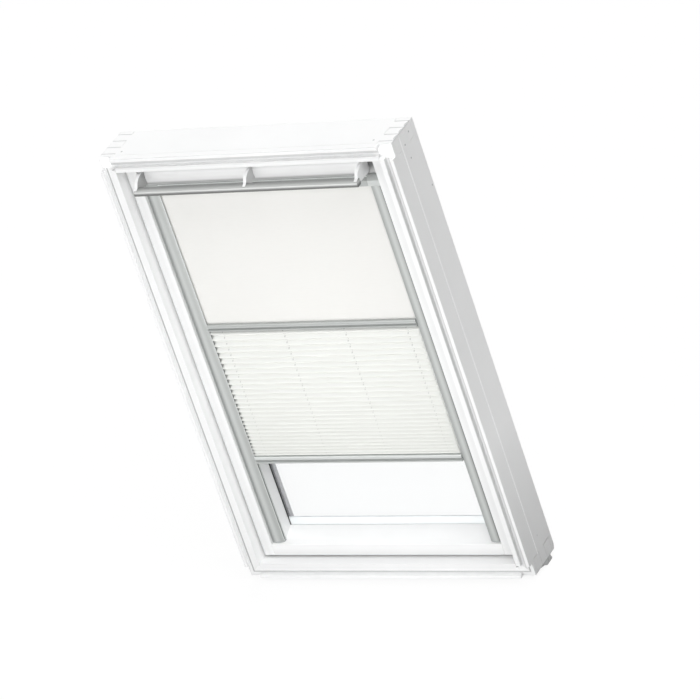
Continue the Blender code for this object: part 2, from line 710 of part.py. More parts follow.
def sash_covers():
    """Thin folded strips that hold the glass down from outside."""
    low_y, high_y = SASH_BACK_Y + GAP, SASH_BACK_Y + SASH_COVER_RISE
    for label, side in (("left", -1), ("right", 1)):
        near, far = side * (SASH_X - SASH_COVER_WIDTH), side * (SASH_X - GAP)
        path = [(far, low_y), (far, high_y), (near, high_y), (near, low_y)]
        folded_sheet("sash_cover_" + label, path, "z", SASH_FOOT + GAP, SASH_HEAD - GAP,
                     "cover_grey", SASH, side)
    span = SASH_X - SASH_COVER_WIDTH - GAP
    for label, start, stop, inward in (
            ("bottom", SASH_FOOT + GAP, SASH_FOOT + SASH_COVER_WIDTH, 1),
            ("top", SASH_HEAD - SASH_COVER_WIDTH - HEAD_BEAD / 4, SASH_HEAD - GAP, 1)):
        path = [(low_y, start), (high_y, start), (high_y, stop), (low_y, stop)]
        folded_sheet("sash_cover_" + label, path, "x", -span, span, "cover_grey", SASH, inward)


def flap_front(steps=7):
    """The flap's slightly rounded room side, from its top down, as (depth, drop)."""
    points = []
    for index in range(steps):
        share = index / (steps - 1)
        bulge = FLAP_BULGE * math.sin(math.pi * share)
        points.append((FLAP_FRONT_Y - bulge, FLAP_TOP + (FLAP_FOOT - FLAP_TOP) * share))
    return points


def build_flap():
    half = FLAP_HALF
    eye = circle(FLAP_ROD_Y, FLAP_ROD_DROP, FLAP_ROD_RADIUS + RUNNING_GAP, 16)
    edge = arc(FLAP_ROD_Y, FLAP_ROD_DROP, FLAP_EYE_RADIUS, 170, -110, 13)
    outline = flap_front() + edge + [(FLAP_BACK_Y, FLAP_FOOT - 0.006), (FLAP_BACK_Y, FLAP_TOP)]
    flap = prism("vent_flap", [down(outline), down(eye)], "x", -half, half, "white_paint", FLAP,
                 True)
    for label, start in (("left", -BEARING_X - BEARING), ("right", BEARING_X)):
        boolean(flap, bearing_room("bearing_room_" + label, start - GAP, start + BEARING + GAP))
    rod = circle(FLAP_ROD_Y, FLAP_DROP_Z, FLAP_ROD_RADIUS, 16)
    rod_reach = half - GAP
    prism("flap_pivot_rod", [rod], "x", -rod_reach, rod_reach, "steel", SASH, True)
    control_bar()
    brackets()
    bearings()


def bar_outline():
    """The control bar from its end, clockwise from its lower front edge."""
    front, back = BAR_FRONT_Y, BAR_FRONT_Y + BAR_DEPTH
    top, foot = BAR_FOOT - BAR_HEIGHT, BAR_FOOT
    return [(front + 0.0020, foot), (front + 0.0004, foot - 0.0020), (front, foot - 0.0050),
            (front + 0.0004, foot - 0.0085), (front + 0.0016, foot - 0.0110),
            (front + 0.0050, top + 0.0026), (front + 0.0110, top), (back - 0.0030, top),
            (back, top + 0.0035), (back, foot - 0.0035), (back - 0.0030, foot)]


def control_bar():
    prism("control_bar", [down(bar_outline())], "x", -BAR_HALF_LENGTH, BAR_HALF_LENGTH, "brushed",
          FLAP, True)


def bracket_outline(back):
    """A curved arm plate: it hugs the bar's top and back, and reaches back to the flap."""
    front, rear = BAR_FRONT_Y, BAR_FRONT_Y + BAR_DEPTH
    top = BAR_FOOT - BAR_HEIGHT
    tip = [(front + 0.0030, top + 0.0026), (front + 0.0050, top + 0.0010),
           (front + 0.0110, top - 0.0016)]
    under = [(front + 0.0110, top - GAP * 2), (rear - 0.0025, top - GAP * 2),
             (rear + GAP, top + 0.0030), (rear + GAP, BAR_FOOT - 0.0045)]
    brow = arc(0.012, FLAP_TOP + 0.0435, 0.0425, 270, 232, 7)
    return brow + tip[::-1][:1] + tip[1:2] + [tip[0]] + [(front + 0.0046, top + 0.0019)] + under + back


def brackets():
    end_back = [(FLAP_ROD_Y - 0.009, FLAP_FOOT - 0.0035), (BRACKET_BACK_Y, FLAP_FOOT - 0.010),
                (BRACKET_BACK_Y, FLAP_TOP + 0.001)]
    half = FLAP_HALF + GAP
    for label, side in (("left", -1), ("right", 1)):
        prism("bar_bracket_" + label, [down(bracket_outline(end_back))], "x",
              *sorted((side * half, side * (half + BRACKET))), "white_paint", FLAP, True)
    front_face = [(y - GAP * 2, drop) for y, drop in flap_front()][::-1]
    prism("bar_bracket_middle", [down(bracket_outline(front_face[1:]))], "x", -BRACKET / 2,
          BRACKET / 2, "white_paint", FLAP, True)


def bearing_room(name, low, high):
    """The cut in the flap's rolled foot that clears one bearing at every angle."""
    around = arc(FLAP_ROD_Y, FLAP_DROP_Z, BEARING_RADIUS + 2 * GAP, 270, 90, 9)
    behind = [(HEAD_FRONT_Y + GAP, FLAP_DROP_Z + 1.6 * BEARING_RADIUS),
              (HEAD_FRONT_Y + GAP, FLAP_DROP_Z - 1.6 * BEARING_RADIUS)]
    return cutter(name, [around + behind], "x", low, high, FLAP)


def bearings():
    """Blocks on the sash's top member that hold the flap's rod, behind the flap."""
    front = arc(FLAP_ROD_Y, FLAP_DROP_Z, BEARING_RADIUS, 270, 90, 9)
    back = HEAD_FRONT_Y - GAP
    block = front + [(back, FLAP_DROP_Z + BEARING_RADIUS), (back, FLAP_DROP_Z - BEARING_RADIUS)]
    hole = circle(FLAP_ROD_Y, FLAP_DROP_Z, FLAP_ROD_RADIUS + GAP, 16)
    for label, start in (("left", -BEARING_X - BEARING), ("right", BEARING_X)):
        prism("flap_bearing_" + label, [block, hole], "x", start, start + BEARING, "plastic", SASH,
              True)


def build_lock():
    case_top, case_foot = SASH_FOOT + 0.004, FLAP_FOOT - 0.008
    case_y = FLAP_BACK_Y + 0.0012
    outline = box_outline(-LOCK_WIDTH / 2, case_y, LOCK_WIDTH / 2, HEAD_FRONT_Y - GAP)
    middle = (case_y + HEAD_FRONT_Y - GAP) / 2
    half_x, half_y = LOCK_BOLT_WIDTH / 2, LOCK_BOLT / 2
    way = box_outline(-half_x - GAP, middle - half_y - GAP, half_x + GAP, middle + half_y + GAP)
    low, high = FRAME_HEIGHT - case_foot, FRAME_HEIGHT - case_top
    prism("lock_case", [outline, way], "z", low, high, "steel", SASH)
    bolt = box_outline(-half_x, middle - half_y, half_x, middle + half_y)
    bolt_top = FRAME_HEIGHT - MEMBER - 0.002
    prism("lock_bolt", [bolt], "z", low + LOCK_TRAVEL, bolt_top, "steel", BOLT)


def headbox_outline(back):
    """The headbox from its end, from its lower front edge round to its lower back edge."""
    front = HEADBOX_FRONT_Y
    return down([(front, HEADBOX_FOOT), (front, HEADBOX_BROW), (front + 0.0080, HEADBOX_SHOULDER),
                 (front + 0.0110, HEADBOX_TOP), (back, HEADBOX_TOP), (back, HEADBOX_FOOT)])


def build_headbox():
    reach = HEADBOX_REACH
    slit = HEADBOX_FRONT_Y + 0.014
    path = headbox_outline(HEADBOX_BACK_Y) + down([(slit, HEADBOX_FOOT)])
    folded_sheet("headbox_casing", path, "x", -reach, reach, "rail_grey", SASH, -1)
    inset = 0.0004
    wall = headbox_outline(HEADBOX_BACK_Y)
    ear = headbox_outline(RAIL_BACK_Y)
    for label, side in (("left", -1), ("right", 1)):
        start = reach + GAP
        cap = prism("headbox_end_" + label, [wall], "x",
                    *sorted((side * start, side * (start + HEADBOX_END))), "rail_grey", SASH)
        lug = cutter("headbox_lug_" + label, [ear], "x",
                     *sorted((side * (start + inset), side * (FACE_X - GAP))), SASH)
        boolean(cap, lug, "UNION")
        pin = cutter("roller_pin_" + label, [circle(ROLLER_Y, ROLLER_Z, ROLLER_BORE - GAP, 16)],
                     "x", *sorted((side * (start - 0.012), side * (start + HEADBOX_END / 2))), SASH)
        boolean(cap, pin, "UNION")
    roller(reach - 0.002)


def roller(reach):
    tube = [circle(ROLLER_Y, ROLLER_Z, ROLLER_RADIUS, 24), circle(ROLLER_Y, ROLLER_Z, ROLLER_BORE, 16)]
    prism("roller_tube", tube, "x", -reach, reach, "brushed", ROLLER, True)
    roll = [circle(ROLLER_Y, ROLLER_Z, ROLL_RADIUS, 32),
            circle(ROLLER_Y, ROLLER_Z, ROLLER_RADIUS + GAP, 24)]
    prism("blackout_roll", roll, "x", 0.002 - reach, reach - 0.002, "blackout", ROLLER, True)
    spring = circle(ROLLER_Y, ROLLER_Z, ROLLER_BORE - GAP, 16)
    prism("roller_spring", [spring], "x", -reach * 0.6, reach * 0.6, "steel", ROLLER, True)


def rail_outline():
    """The right rail from its end: a shallow crown outside, a slot for cloth and sliders inside."""
    outer, inner = FACE_X - GAP, RAIL_X
    front, back = RAIL_FRONT_Y, RAIL_BACK_Y
    low, high = RAIL_SLOT_Y - RAIL_SLOT / 2, RAIL_SLOT_Y + RAIL_SLOT / 2
    return [(outer, back), (outer, front + 0.0022), (outer - 0.0020, front + 0.0012),
            (outer - 0.0020, front + 0.0030), (outer - 0.0034, front + 0.0030),
            (outer - 0.0034, front + 0.0008), (outer - 0.0080, front), (outer - 0.0160, front),
            (outer - 0.0230, front + 0.0010), (inner + 0.0040, front + 0.0032),
            (inner + 0.0010, front + 0.0048), (inner, low), (inner + RAIL_SLOT_DEPTH, low),
            (inner + RAIL_SLOT_DEPTH, high), (inner, high), (inner, back)]


def build_rails():
    head = FRAME_HEIGHT - HEADBOX_FOOT - GAP
    start = RAIL_FOOT + RAIL_END
    plug = [point for index, point in enumerate(rail_outline()) if index not in (2, 3, 4, 5, 12, 13)]
    for label, side in (("left", -1), ("right", 1)):
        prism("side_rail_" + label, [flip(rail_outline(), side)], "z", start + GAP, head,
              "rail_grey", SASH, True)
        prism("rail_end_" + label, [flip(plug, side)], "z", RAIL_FOOT, start, "plastic", SASH, True)


def blind_bar_outline(middle):
    """A blind bar from its end: a rounded brow, a finger groove and a lip."""
    front, back = BAR_PROFILE_FRONT_Y, BAR_PROFILE_BACK_Y
    half = BAR_PROFILE_HEIGHT / 2
    rows = [(back, half), (front + 0.0032, half), (front + 0.0015, half - 0.0010),
            (front + 0.0008, half - 0.0036), (front + 0.0010, half - 0.0072),
            (front + 0.0022, half - 0.0098), (front + 0.0044, half - 0.0112),
            (front + 0.0044, half - 0.0132), (front + 0.0012, half - 0.0139),
            (front, half - 0.0150), (front, -half + 0.0006), (front + 0.0008, -half),
            (back, -half)]
    return [(y, middle + rise) for y, rise in rows]


def blind_bar(name, middle, parent):
    reach = RAIL_SPAN
    prism(name, [blind_bar_outline(middle)], "x", -reach, reach, "rail_grey", parent, True)
    half = RAIL_SLOT / 2 - RUNNING_GAP
    for label, side in (("left", -1), ("right", 1)):
        block = box_outline(RAIL_SLOT_Y - half, middle - SLIDER_HEIGHT / 2, RAIL_SLOT_Y + half,
                            middle + SLIDER_HEIGHT / 2)
        prism(f"{name}_slider_{label}", [block], "x",
              *sorted((side * (reach + GAP), side * (RAIL_X + RAIL_SLOT_DEPTH - RUNNING_GAP))),
              "plastic", parent)


def build_blackout():
    half = BLACKOUT / 2
    foot = MID_Z + BAR_PROFILE_HEIGHT / 2 + GAP
    reach = RAIL_X + RAIL_SLOT_DEPTH - 0.003
    head = FRAME_HEIGHT - HEADBOX_FOOT - GAP
    tongue = HEADBOX_REACH - 0.0044
    cloth = [(-reach, foot), (reach, foot), (reach, head), (tongue, head), (tongue, ROLLER_Z),
             (-tongue, ROLLER_Z), (-tongue, head), (-reach, head)]
    prism("blackout_cloth", [cloth], "y", RAIL_SLOT_Y - half, RAIL_SLOT_Y + half, "blackout", SASH)


def pleat_heights():
    """Fold heights from the top down; the pitch shrinks towards the bottom bar."""
    head = MID_Z - BAR_PROFILE_HEIGHT / 2 - GAP
    foot = BOTTOM_Z + BAR_PROFILE_HEIGHT / 2 + GAP
    folds = 2 * PLEATS
    steps = [1 - PLEAT_TIGHTENING * (index + 0.5) / folds for index in range(folds)]
    unit = (head - foot) / sum(steps)
    heights = [head]
    for step in steps:
        heights.append(heights[-1] - step * unit)
    return heights


def build_pleats():
    front, back = PLEAT_FRONT_Y, PLEAT_FRONT_Y + PLEAT_DEPTH - PLEAT_CLOTH
    zigzag = [(back if index % 2 == 0 else front, z) for index, z in enumerate(pleat_heights())]
    outline = zigzag + [(y + PLEAT_CLOTH, z) for y, z in reversed(zigzag)]
    reach = RAIL_SPAN
    prism("pleated_cloth", [outline], "x", -reach, reach, "pleats", MID)
    heights = pleat_heights()
    cord_y = back + PLEAT_CLOTH + GAP + CORD_RADIUS
    for number, x in enumerate((-CORD_OUTER_X, -CORD_INNER_X, CORD_INNER_X, CORD_OUTER_X)):
        prism(f"pleat_cord_{number + 1}", [circle(x, cord_y, CORD_RADIUS, 6)], "z", heights[-1],
              heights[0], "cord", MID)


build_frame()
build_sash()
build_flap()
build_lock()
build_headbox()
build_rails()
blind_bar("mid_bar", MID_Z, MID)
blind_bar("bottom_bar", BOTTOM_Z, BOTTOM)
build_blackout()
build_pleats()
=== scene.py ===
"""The looks of a centre-pivot roof window with a duo blind: finishes, cloths, cords and small fittings."""

import math

import bmesh
import bpy
from mathutils import Matrix, Vector, noise
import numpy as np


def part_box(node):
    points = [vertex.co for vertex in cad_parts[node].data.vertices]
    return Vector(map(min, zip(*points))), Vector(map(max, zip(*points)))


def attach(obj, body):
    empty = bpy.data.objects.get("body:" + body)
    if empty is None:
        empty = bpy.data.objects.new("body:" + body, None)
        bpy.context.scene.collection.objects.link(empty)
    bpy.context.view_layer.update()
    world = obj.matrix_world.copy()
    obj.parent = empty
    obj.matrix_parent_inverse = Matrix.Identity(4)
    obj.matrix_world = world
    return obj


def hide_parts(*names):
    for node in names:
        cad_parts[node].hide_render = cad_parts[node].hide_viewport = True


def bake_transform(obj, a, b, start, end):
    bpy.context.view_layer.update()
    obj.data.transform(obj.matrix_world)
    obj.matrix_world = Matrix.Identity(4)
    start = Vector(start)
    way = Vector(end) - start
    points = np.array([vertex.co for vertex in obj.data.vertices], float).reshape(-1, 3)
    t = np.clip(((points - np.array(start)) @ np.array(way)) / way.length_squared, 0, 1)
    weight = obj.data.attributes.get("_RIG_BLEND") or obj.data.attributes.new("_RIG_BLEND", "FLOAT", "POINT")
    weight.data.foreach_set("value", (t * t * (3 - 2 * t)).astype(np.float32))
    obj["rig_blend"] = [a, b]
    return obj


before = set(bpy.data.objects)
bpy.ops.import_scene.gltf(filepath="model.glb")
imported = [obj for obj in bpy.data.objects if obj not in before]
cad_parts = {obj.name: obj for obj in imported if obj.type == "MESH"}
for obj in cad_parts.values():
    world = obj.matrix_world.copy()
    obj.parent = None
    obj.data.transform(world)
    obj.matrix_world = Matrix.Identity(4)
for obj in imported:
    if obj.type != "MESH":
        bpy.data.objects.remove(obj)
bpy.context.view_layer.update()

# Everything is in metres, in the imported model's frame: X across, Y out through the roof, Z up.

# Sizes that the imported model's boxes give
FRAME_LOW, FRAME_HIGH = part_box("frame_side_right")
HALF_WIDTH = FRAME_HIGH.x
FRAME_FOOT = FRAME_LOW.z
FRAME_HEAD = FRAME_HIGH.z
FRAME_FRONT = FRAME_LOW.y
GAP = 0.0003

# The camera at the photograph's place: its view direction, its turn about that direction and its lens
CAMERA_PLACE = (6.13970, -8.74495, 6.17435)
CAMERA_AZIMUTH = 34.7436
CAMERA_ELEVATION = 27.5478
CAMERA_ROLL = -19.1585
CAMERA_LENS = 266.03
CAMERA_SENSOR = 36.0
CAMERA_SHIFT_X = -0.00111
CAMERA_SHIFT_Y = 0.00098

# Light
SKY_LEVEL = 0.06
SOFT_SUNS = {
    "over_right": {"from": (0.45, -0.25, 0.85), "level": 0.61},
    "over_back": {"from": (0.0, 0.5, 0.85), "level": 0.51},
    "front_left": {"from": (-0.55, -0.80, 0.0), "level": 0.40},
}
SUN_SPREAD = 50.0
STRIP_PLACE = (0.12, -1.10, 0.55)
STRIP_AIM = (-0.30, 0.0, 0.55)
STRIP_SIZE = (0.5, 1.9)
STRIP_POWER = 10.2
FLOOR_REACH = 40.0
FLOOR_COLOUR = (0.62, 0.62, 0.62)
FLOOR_LIFT = 0.88
FLOOR_GLOW = 1.05


# Node materials


class Finish:
    """One Principled material whose textures are laid out in the part's own metres."""

    def __init__(self, name, colour, roughness, metallic=0.0):
        self.material = bpy.data.materials.new(name)
        self.material.use_nodes = True
        self.tree = self.material.node_tree
        self.shader = self.tree.nodes["Principled BSDF"]
        self.put("Base Color", (*colour, 1.0))
        self.put("Roughness", roughness)
        self.put("Metallic", metallic)
        self.place = self.node("ShaderNodeTexCoord").outputs["Object"]
        self.normal = None

    def node(self, kind, **settings):
        made = self.tree.nodes.new(kind)
        for name, value in settings.items():
            setattr(made, name, value)
        return made

    def put(self, socket, value):
        self.shader.inputs[socket].default_value = value

    def link(self, source, target):
        self.tree.links.new(source, target)

    def stretched(self, scale):
        mapping = self.node("ShaderNodeMapping")
        mapping.inputs["Scale"].default_value = scale
        self.link(self.place, mapping.inputs["Vector"])
        return mapping.outputs["Vector"]

    def grain(self, scale, detail=2.0, stretch=(1.0, 1.0, 1.0)):
        texture = self.node("ShaderNodeTexNoise")
        texture.inputs["Scale"].default_value = scale
        texture.inputs["Detail"].default_value = detail
        self.link(self.stretched(stretch), texture.inputs["Vector"])
        return texture.outputs["Fac"]

    def threads(self, pitch, direction):
        """Parallel ribs of that pitch, across one axis."""
        texture = self.node("ShaderNodeTexWave", wave_type="BANDS", bands_direction=direction)
        texture.inputs["Scale"].default_value = math.pi / (10.0 * pitch)
        texture.inputs["Distortion"].default_value = 0.4
        texture.inputs["Detail"].default_value = 1.0
        self.link(self.place, texture.inputs["Vector"])
        return texture.outputs["Fac"]

    def math(self, operation, first, second):
        step = self.node("ShaderNodeMath", operation=operation)
        for socket, value in zip(step.inputs, (first, second)):
            if isinstance(value, (int, float)):
                socket.default_value = value
            else:
                self.link(value, socket)
        return step.outputs["Value"]

    def between(self, source, low, high):
        """Spread a texture's middle range over low to high."""
        spread = self.node("ShaderNodeMapRange")
        for name, value in (("From Min", 0.3), ("From Max", 0.7), ("To Min", low), ("To Max", high)):
            spread.inputs[name].default_value = value
        self.link(source, spread.inputs["Value"])
        return spread.outputs["Result"]

    def tint(self, source, dark, light):
        mix = self.node("ShaderNodeMix", data_type="RGBA")
        colours = [socket for socket in mix.inputs if socket.type == "RGBA"]
        colours[0].default_value = (*dark, 1.0)
        colours[1].default_value = (*light, 1.0)
        self.link(self.between(source, 0.0, 1.0), mix.inputs["Factor"])
        result = [socket for socket in mix.outputs if socket.type == "RGBA"][0]
        self.link(result, self.shader.inputs["Base Color"])

    def axes(self):
        """The part's own X, Y and Z at the shaded point."""
        split = self.node("ShaderNodeSeparateXYZ")
        self.link(self.place, split.inputs["Vector"])
        return [split.outputs[name] for name in "XYZ"]

    def within(self, value, low, high):
        """1 where the value lies between low and high, else 0."""
        return self.math("MULTIPLY", self.math("GREATER_THAN", value, low),
                         self.math("LESS_THAN", value, high))

    def both(self, *masks):
        joined = masks[0]
        for mask in masks[1:]:
            joined = self.math("MULTIPLY", joined, mask)
        return joined

    def tone(self, factor):
        """Scale the base colour by a factor."""
        scale = self.node("ShaderNodeHueSaturation")
        colour = self.shader.inputs["Base Color"]
        if colour.is_linked:
            self.link(colour.links[0].from_socket, scale.inputs["Color"])
        else:
            scale.inputs["Color"].default_value = colour.default_value
        self.link(factor, scale.inputs["Value"])
        self.link(scale.outputs["Color"], colour)

    def tone_where(self, mask, factor):
        """Scale the base colour by a factor where the mask is 1."""
        self.tone(self.math("ADD", self.math("MULTIPLY", mask, factor - 1.0), 1.0))

    def tone_fade(self, mask, value, low, high, factor):
        """Scale the base colour by a factor at low that fades to 1 at high, where the mask is 1."""
        fade = self.node("ShaderNodeMapRange")
        for name, limit in (("From Min", low), ("From Max", high), ("To Min", factor - 1.0),
                            ("To Max", 0.0)):
            fade.inputs[name].default_value = limit
        self.link(value, fade.inputs["Value"])
        self.tone(self.math("ADD", self.math("MULTIPLY", fade.outputs["Result"], mask), 1.0))

    def tone_along(self, value, low, high, stops):
        """Scale the base colour by a curve over low to high; stops are (share, factor)."""
        spread = self.node("ShaderNodeMapRange")
        for name, limit in (("From Min", low), ("From Max", high)):
            spread.inputs[name].default_value = limit
        self.link(value, spread.inputs["Value"])
        ramp = self.node("ShaderNodeValToRGB")
        points = ramp.color_ramp.elements
        while len(points) < len(stops):
            points.new(0.5)
        for point, (share, factor) in zip(points, stops):
            point.position = share
        for point, (share, factor) in zip(sorted(points, key=lambda item: item.position), stops):
            point.color = (factor, factor, factor, 1.0)
        self.link(spread.outputs["Result"], ramp.inputs["Fac"])
        self.tone(ramp.outputs["Color"])

    def rough(self, source, low, high):
        self.link(self.between(source, low, high), self.shader.inputs["Roughness"])

    def bump(self, source, height):
        relief = self.node("ShaderNodeBump")
        relief.inputs["Distance"].default_value = height
        self.link(source, relief.inputs["Height"])
        if self.normal is not None:
            self.link(self.normal, relief.inputs["Normal"])
        self.normal = relief.outputs["Normal"]
        self.link(self.normal, self.shader.inputs["Normal"])


def shade(colour, factor):
    return tuple(min(1.0, part * factor) for part in colour)


def painted(name, colour, grain_stretch, marks=None):
    """Satin paint on timber: a faint roller texture over a fainter grain."""
    finish = Finish(name, colour, 0.42)
    broad = finish.grain(7.0, 3.0)
    finish.tint(broad, shade(colour, 0.985), shade(colour, 1.01))
    finish.rough(finish.grain(60.0, 2.0), 0.36, 0.48)
    finish.bump(finish.grain(650.0, 3.0), 0.00004)
    finish.bump(finish.grain(1.0, 3.0, grain_stretch), 0.00006)
    finish.put("Coat Weight", 0.12)
    finish.put("Coat Roughness", 0.30)
    if marks:
        marks(finish)
    return finish.material


# The frame's section, as the imported model has it, for the painted shade and light in its paint.
# "From the edge" is the distance from a member's outer edge, and "depth" the distance behind the frame's
# front.
LIP = 0.009
GROOVE_END = 0.026
GROOVE_DEPTH = 0.014
MEMBER = 0.039
COMB_SEAMS = (0.027, 0.056, 0.085, 0.114)
COMB_SEAM_HALF = 0.0016
# How far in from the side the painted shade of the fingers' rounded ends reaches
FINGER_END_SHADE_REACH = 0.006
SCORE_DEPTH = 0.051
SCORE_HALF = 0.0024
SCORE_FOOT = 0.034
SCORE_STOP = 0.0065
TOUCH = 0.0004
LIP_DEPTH = 0.0006
IN_GROOVE_FROM = 0.0008
OUTER_SKIN = 0.0012
SCORE_SKIN = 0.003
# Where the painted shade under the lips and the painted shadow lines in the groove lie, from the edge
LIP_SHADE_END = LIP + 0.0040
SIDE_LIP_SHADOW_LINE = (LIP + 0.0090, LIP + 0.0122)
HEAD_LIP_SHADOW = (LIP + TOUCH, LIP + 0.0130)
RIDGE_TOP = (GROOVE_END + TOUCH, GROOVE_END + 0.0055)
# The painted light on the frame's inner face: strongest at the first depth, gone at the second
INSIDE_FADE = (0.030, 0.008)
# Height above the foot over which the painted shade on the outer faces fades out
FOOT_FADE = 0.38

# How far the solid block at each upper corner reaches, on the left and on the right
BLOCK_FROM_SIDE = (0.027, 0.039)
BLOCK_FROM_HEAD = (0.030, 0.036)

# Painted light (above 1) and painted shade (below 1) at each mark, as a share of the paint's own colour
FRAME_SHADING = {
    "lip wall": 1.10,
    "side ridge wall": 0.80,
    "head ridge wall": 1.14,
    "right groove floor": 0.92,
    "level groove floor": 1.10,
    "side lip shade": 0.54,
    "foot lip shade": 0.60,
    "right lip shadow line": 0.84,
    "head lip shadow": 0.67,
    "ridge top": 0.93,
    "inside": 1.14,
    "corner block": 1.12,
    "foot lip": 1.10,
    "outer foot": 0.62,
    "comb seam": 0.70,
    "finger end shade": 0.66,
    "score": 1.13,
}


class FrameShading:
    """Painted shade and light in the lining groove, on the faces and at the fingers' ends, dark comb glue
    lines, and a painted highlight on the outer score.
    """

    def __init__(self, finish):
        self.finish = finish
        self.x, y, z = finish.axes()
        self.depth = finish.math("SUBTRACT", y, FRAME_FRONT)
        self.from_side = finish.math("SUBTRACT", HALF_WIDTH, finish.math("ABSOLUTE", self.x, 0.0))
        self.from_foot = finish.math("SUBTRACT", z, FRAME_FOOT)
        self.from_head = finish.math("SUBTRACT", FRAME_HEAD, z)
        self.from_end = finish.math("MINIMUM", self.from_foot, self.from_head)
        self.from_edge = finish.math("MINIMUM", self.from_side, self.from_end)
        self.on_right = finish.math("GREATER_THAN", self.x, 0.0)
        self.split_members()
        self.groove_shading()
        self.face_shading()
        self.comb_marks()
        self.score_highlight()

    def tone(self, name, *masks):
        self.finish.tone_where(self.finish.both(*masks), FRAME_SHADING[name])

    def near(self, edge):
        return self.finish.within(self.from_edge, edge - TOUCH, edge + TOUCH)

    def split_members(self):
        """Masks for the upright and the level members, short of the upper corners' blocks."""
        finish = self.finish
        reach = [finish.math("ADD", left, finish.math("MULTIPLY", self.on_right, right - left))
                 for left, right in (BLOCK_FROM_SIDE, BLOCK_FROM_HEAD)]
        self.block = finish.both(finish.math("LESS_THAN", self.from_side, reach[0]),
                                 finish.math("LESS_THAN", self.from_head, reach[1]))
        off_block = finish.math("SUBTRACT", 1.0, self.block)
        self.level = finish.math("GREATER_THAN", self.from_side, self.from_end)
        self.lower = finish.both(self.level, finish.math("LESS_THAN", self.from_foot, self.from_head))
        self.upper = finish.both(self.level, finish.math("LESS_THAN", self.from_head, self.from_foot),
                                 off_block)
        self.beside = finish.both(finish.math("LESS_THAN", self.from_side, self.from_end), off_block)
        self.right = finish.both(self.on_right, self.beside)

    def groove_shading(self):
        finish = self.finish
        in_groove = finish.within(self.depth, IN_GROOVE_FROM, GROOVE_DEPTH + TOUCH)
        floor = finish.within(self.depth, GROOVE_DEPTH - 2 * TOUCH, GROOVE_DEPTH + 2 * TOUCH)
        groove = finish.within(self.from_edge, LIP + TOUCH, GROOVE_END - TOUCH)
        ridge_wall = self.near(GROOVE_END)
        lip_shade = finish.both(finish.within(self.from_edge, LIP + TOUCH, LIP_SHADE_END), floor)
        # Painted light and shade in the groove: factors above 1 are painted light, below 1 painted shade,
        # such as the shade under the lips
        self.tone("lip wall", self.near(LIP), in_groove, self.beside)
        self.tone("side ridge wall", ridge_wall, in_groove, self.beside)
        self.tone("right groove floor", groove, floor, self.right)
        self.tone("level groove floor", groove, floor, self.level)
        self.tone("head ridge wall", ridge_wall, in_groove, self.level)
        self.tone("side lip shade", lip_shade, self.beside)
        self.tone("foot lip shade", lip_shade, self.lower)
        self.tone("right lip shadow line", finish.within(self.from_edge, *SIDE_LIP_SHADOW_LINE), floor, self.right)
        self.tone("head lip shadow", finish.within(self.from_edge, *HEAD_LIP_SHADOW), floor, self.upper)
        self.tone("ridge top", finish.within(self.from_head, *RIDGE_TOP), in_groove, self.level)
        self.tone("corner block", self.block, in_groove)

    def face_shading(self):
        finish = self.finish
        # Painted light on the inner face towards its back and on the foot's lip; painted shade on the outer
        # faces towards the foot
        inside = finish.both(self.near(MEMBER), self.beside)
        finish.tone_fade(inside, self.depth, *INSIDE_FADE, FRAME_SHADING["inside"])
        self.tone("foot lip", finish.math("LESS_THAN", self.depth, LIP_DEPTH), self.lower,
                  finish.math("LESS_THAN", self.from_edge, LIP))
        outer = finish.math("LESS_THAN", self.from_side, OUTER_SKIN)
        finish.tone_fade(outer, self.from_foot, 0.0, FOOT_FADE, FRAME_SHADING["outer foot"])

    def comb_marks(self):
        """The glue lines at each corner, and at the right a painted shade for the rounded ends of the
        fingers.
        """
        finish = self.finish
        outside = finish.math("LESS_THAN", self.from_end, OUTER_SKIN)
        corner = finish.math("LESS_THAN", self.from_side, MEMBER)
        for seam in COMB_SEAMS:
            line = finish.within(self.depth, seam - COMB_SEAM_HALF, seam + COMB_SEAM_HALF)
            self.tone("comb seam", line, corner, outside)
        for seam, after in zip(COMB_SEAMS, COMB_SEAMS[1:]):
            half = (after - seam) / 2
            off_middle = finish.math("SUBTRACT", self.depth, (seam + after) / 2)
            across = finish.math("DIVIDE", off_middle, half)
            squared = finish.math("MULTIPLY", across, across)
            reach = finish.math("SUBTRACT", FINGER_END_SHADE_REACH, finish.math("MULTIPLY", FINGER_END_SHADE_REACH, squared))
            self.tone("finger end shade", finish.math("LESS_THAN", self.from_side, reach), outside,
                      self.on_right)

    def score_highlight(self):
        finish = self.finish
        # A painted highlight along the score in the outer faces
        self.tone("score", finish.within(self.depth, SCORE_DEPTH - SCORE_HALF, SCORE_DEPTH + SCORE_HALF),
                  finish.math("GREATER_THAN", self.from_foot, SCORE_FOOT),
                  finish.math("GREATER_THAN", self.from_head, SCORE_STOP),
                  finish.math("LESS_THAN", self.from_side, SCORE_SKIN))


def lacquered(name, colour, roughness=0.34, marks=None):
    """Smooth powder coat: a fine orange peel."""
    finish = Finish(name, colour, roughness)
    finish.tint(finish.grain(10.0, 2.0), shade(colour, 0.985), shade(colour, 1.01))
    finish.rough(finish.grain(90.0, 2.0), roughness - 0.05, roughness + 0.07)
    finish.bump(finish.grain(900.0, 2.0), 0.00003)
    if marks:
        marks(finish)
    return finish.material


def moulded(name, colour, roughness=0.5, marks=None):
    """Moulded plastic with a fine spark-eroded grain."""
    finish = Finish(name, colour, roughness)
    finish.tint(finish.grain(30.0, 3.0), shade(colour, 0.97), shade(colour, 1.03))
    finish.rough(finish.grain(400.0, 2.0), roughness - 0.06, roughness + 0.08)
    finish.bump(finish.grain(2600.0, 2.0), 0.00003)
    if marks:
        marks(finish)
    return finish.material


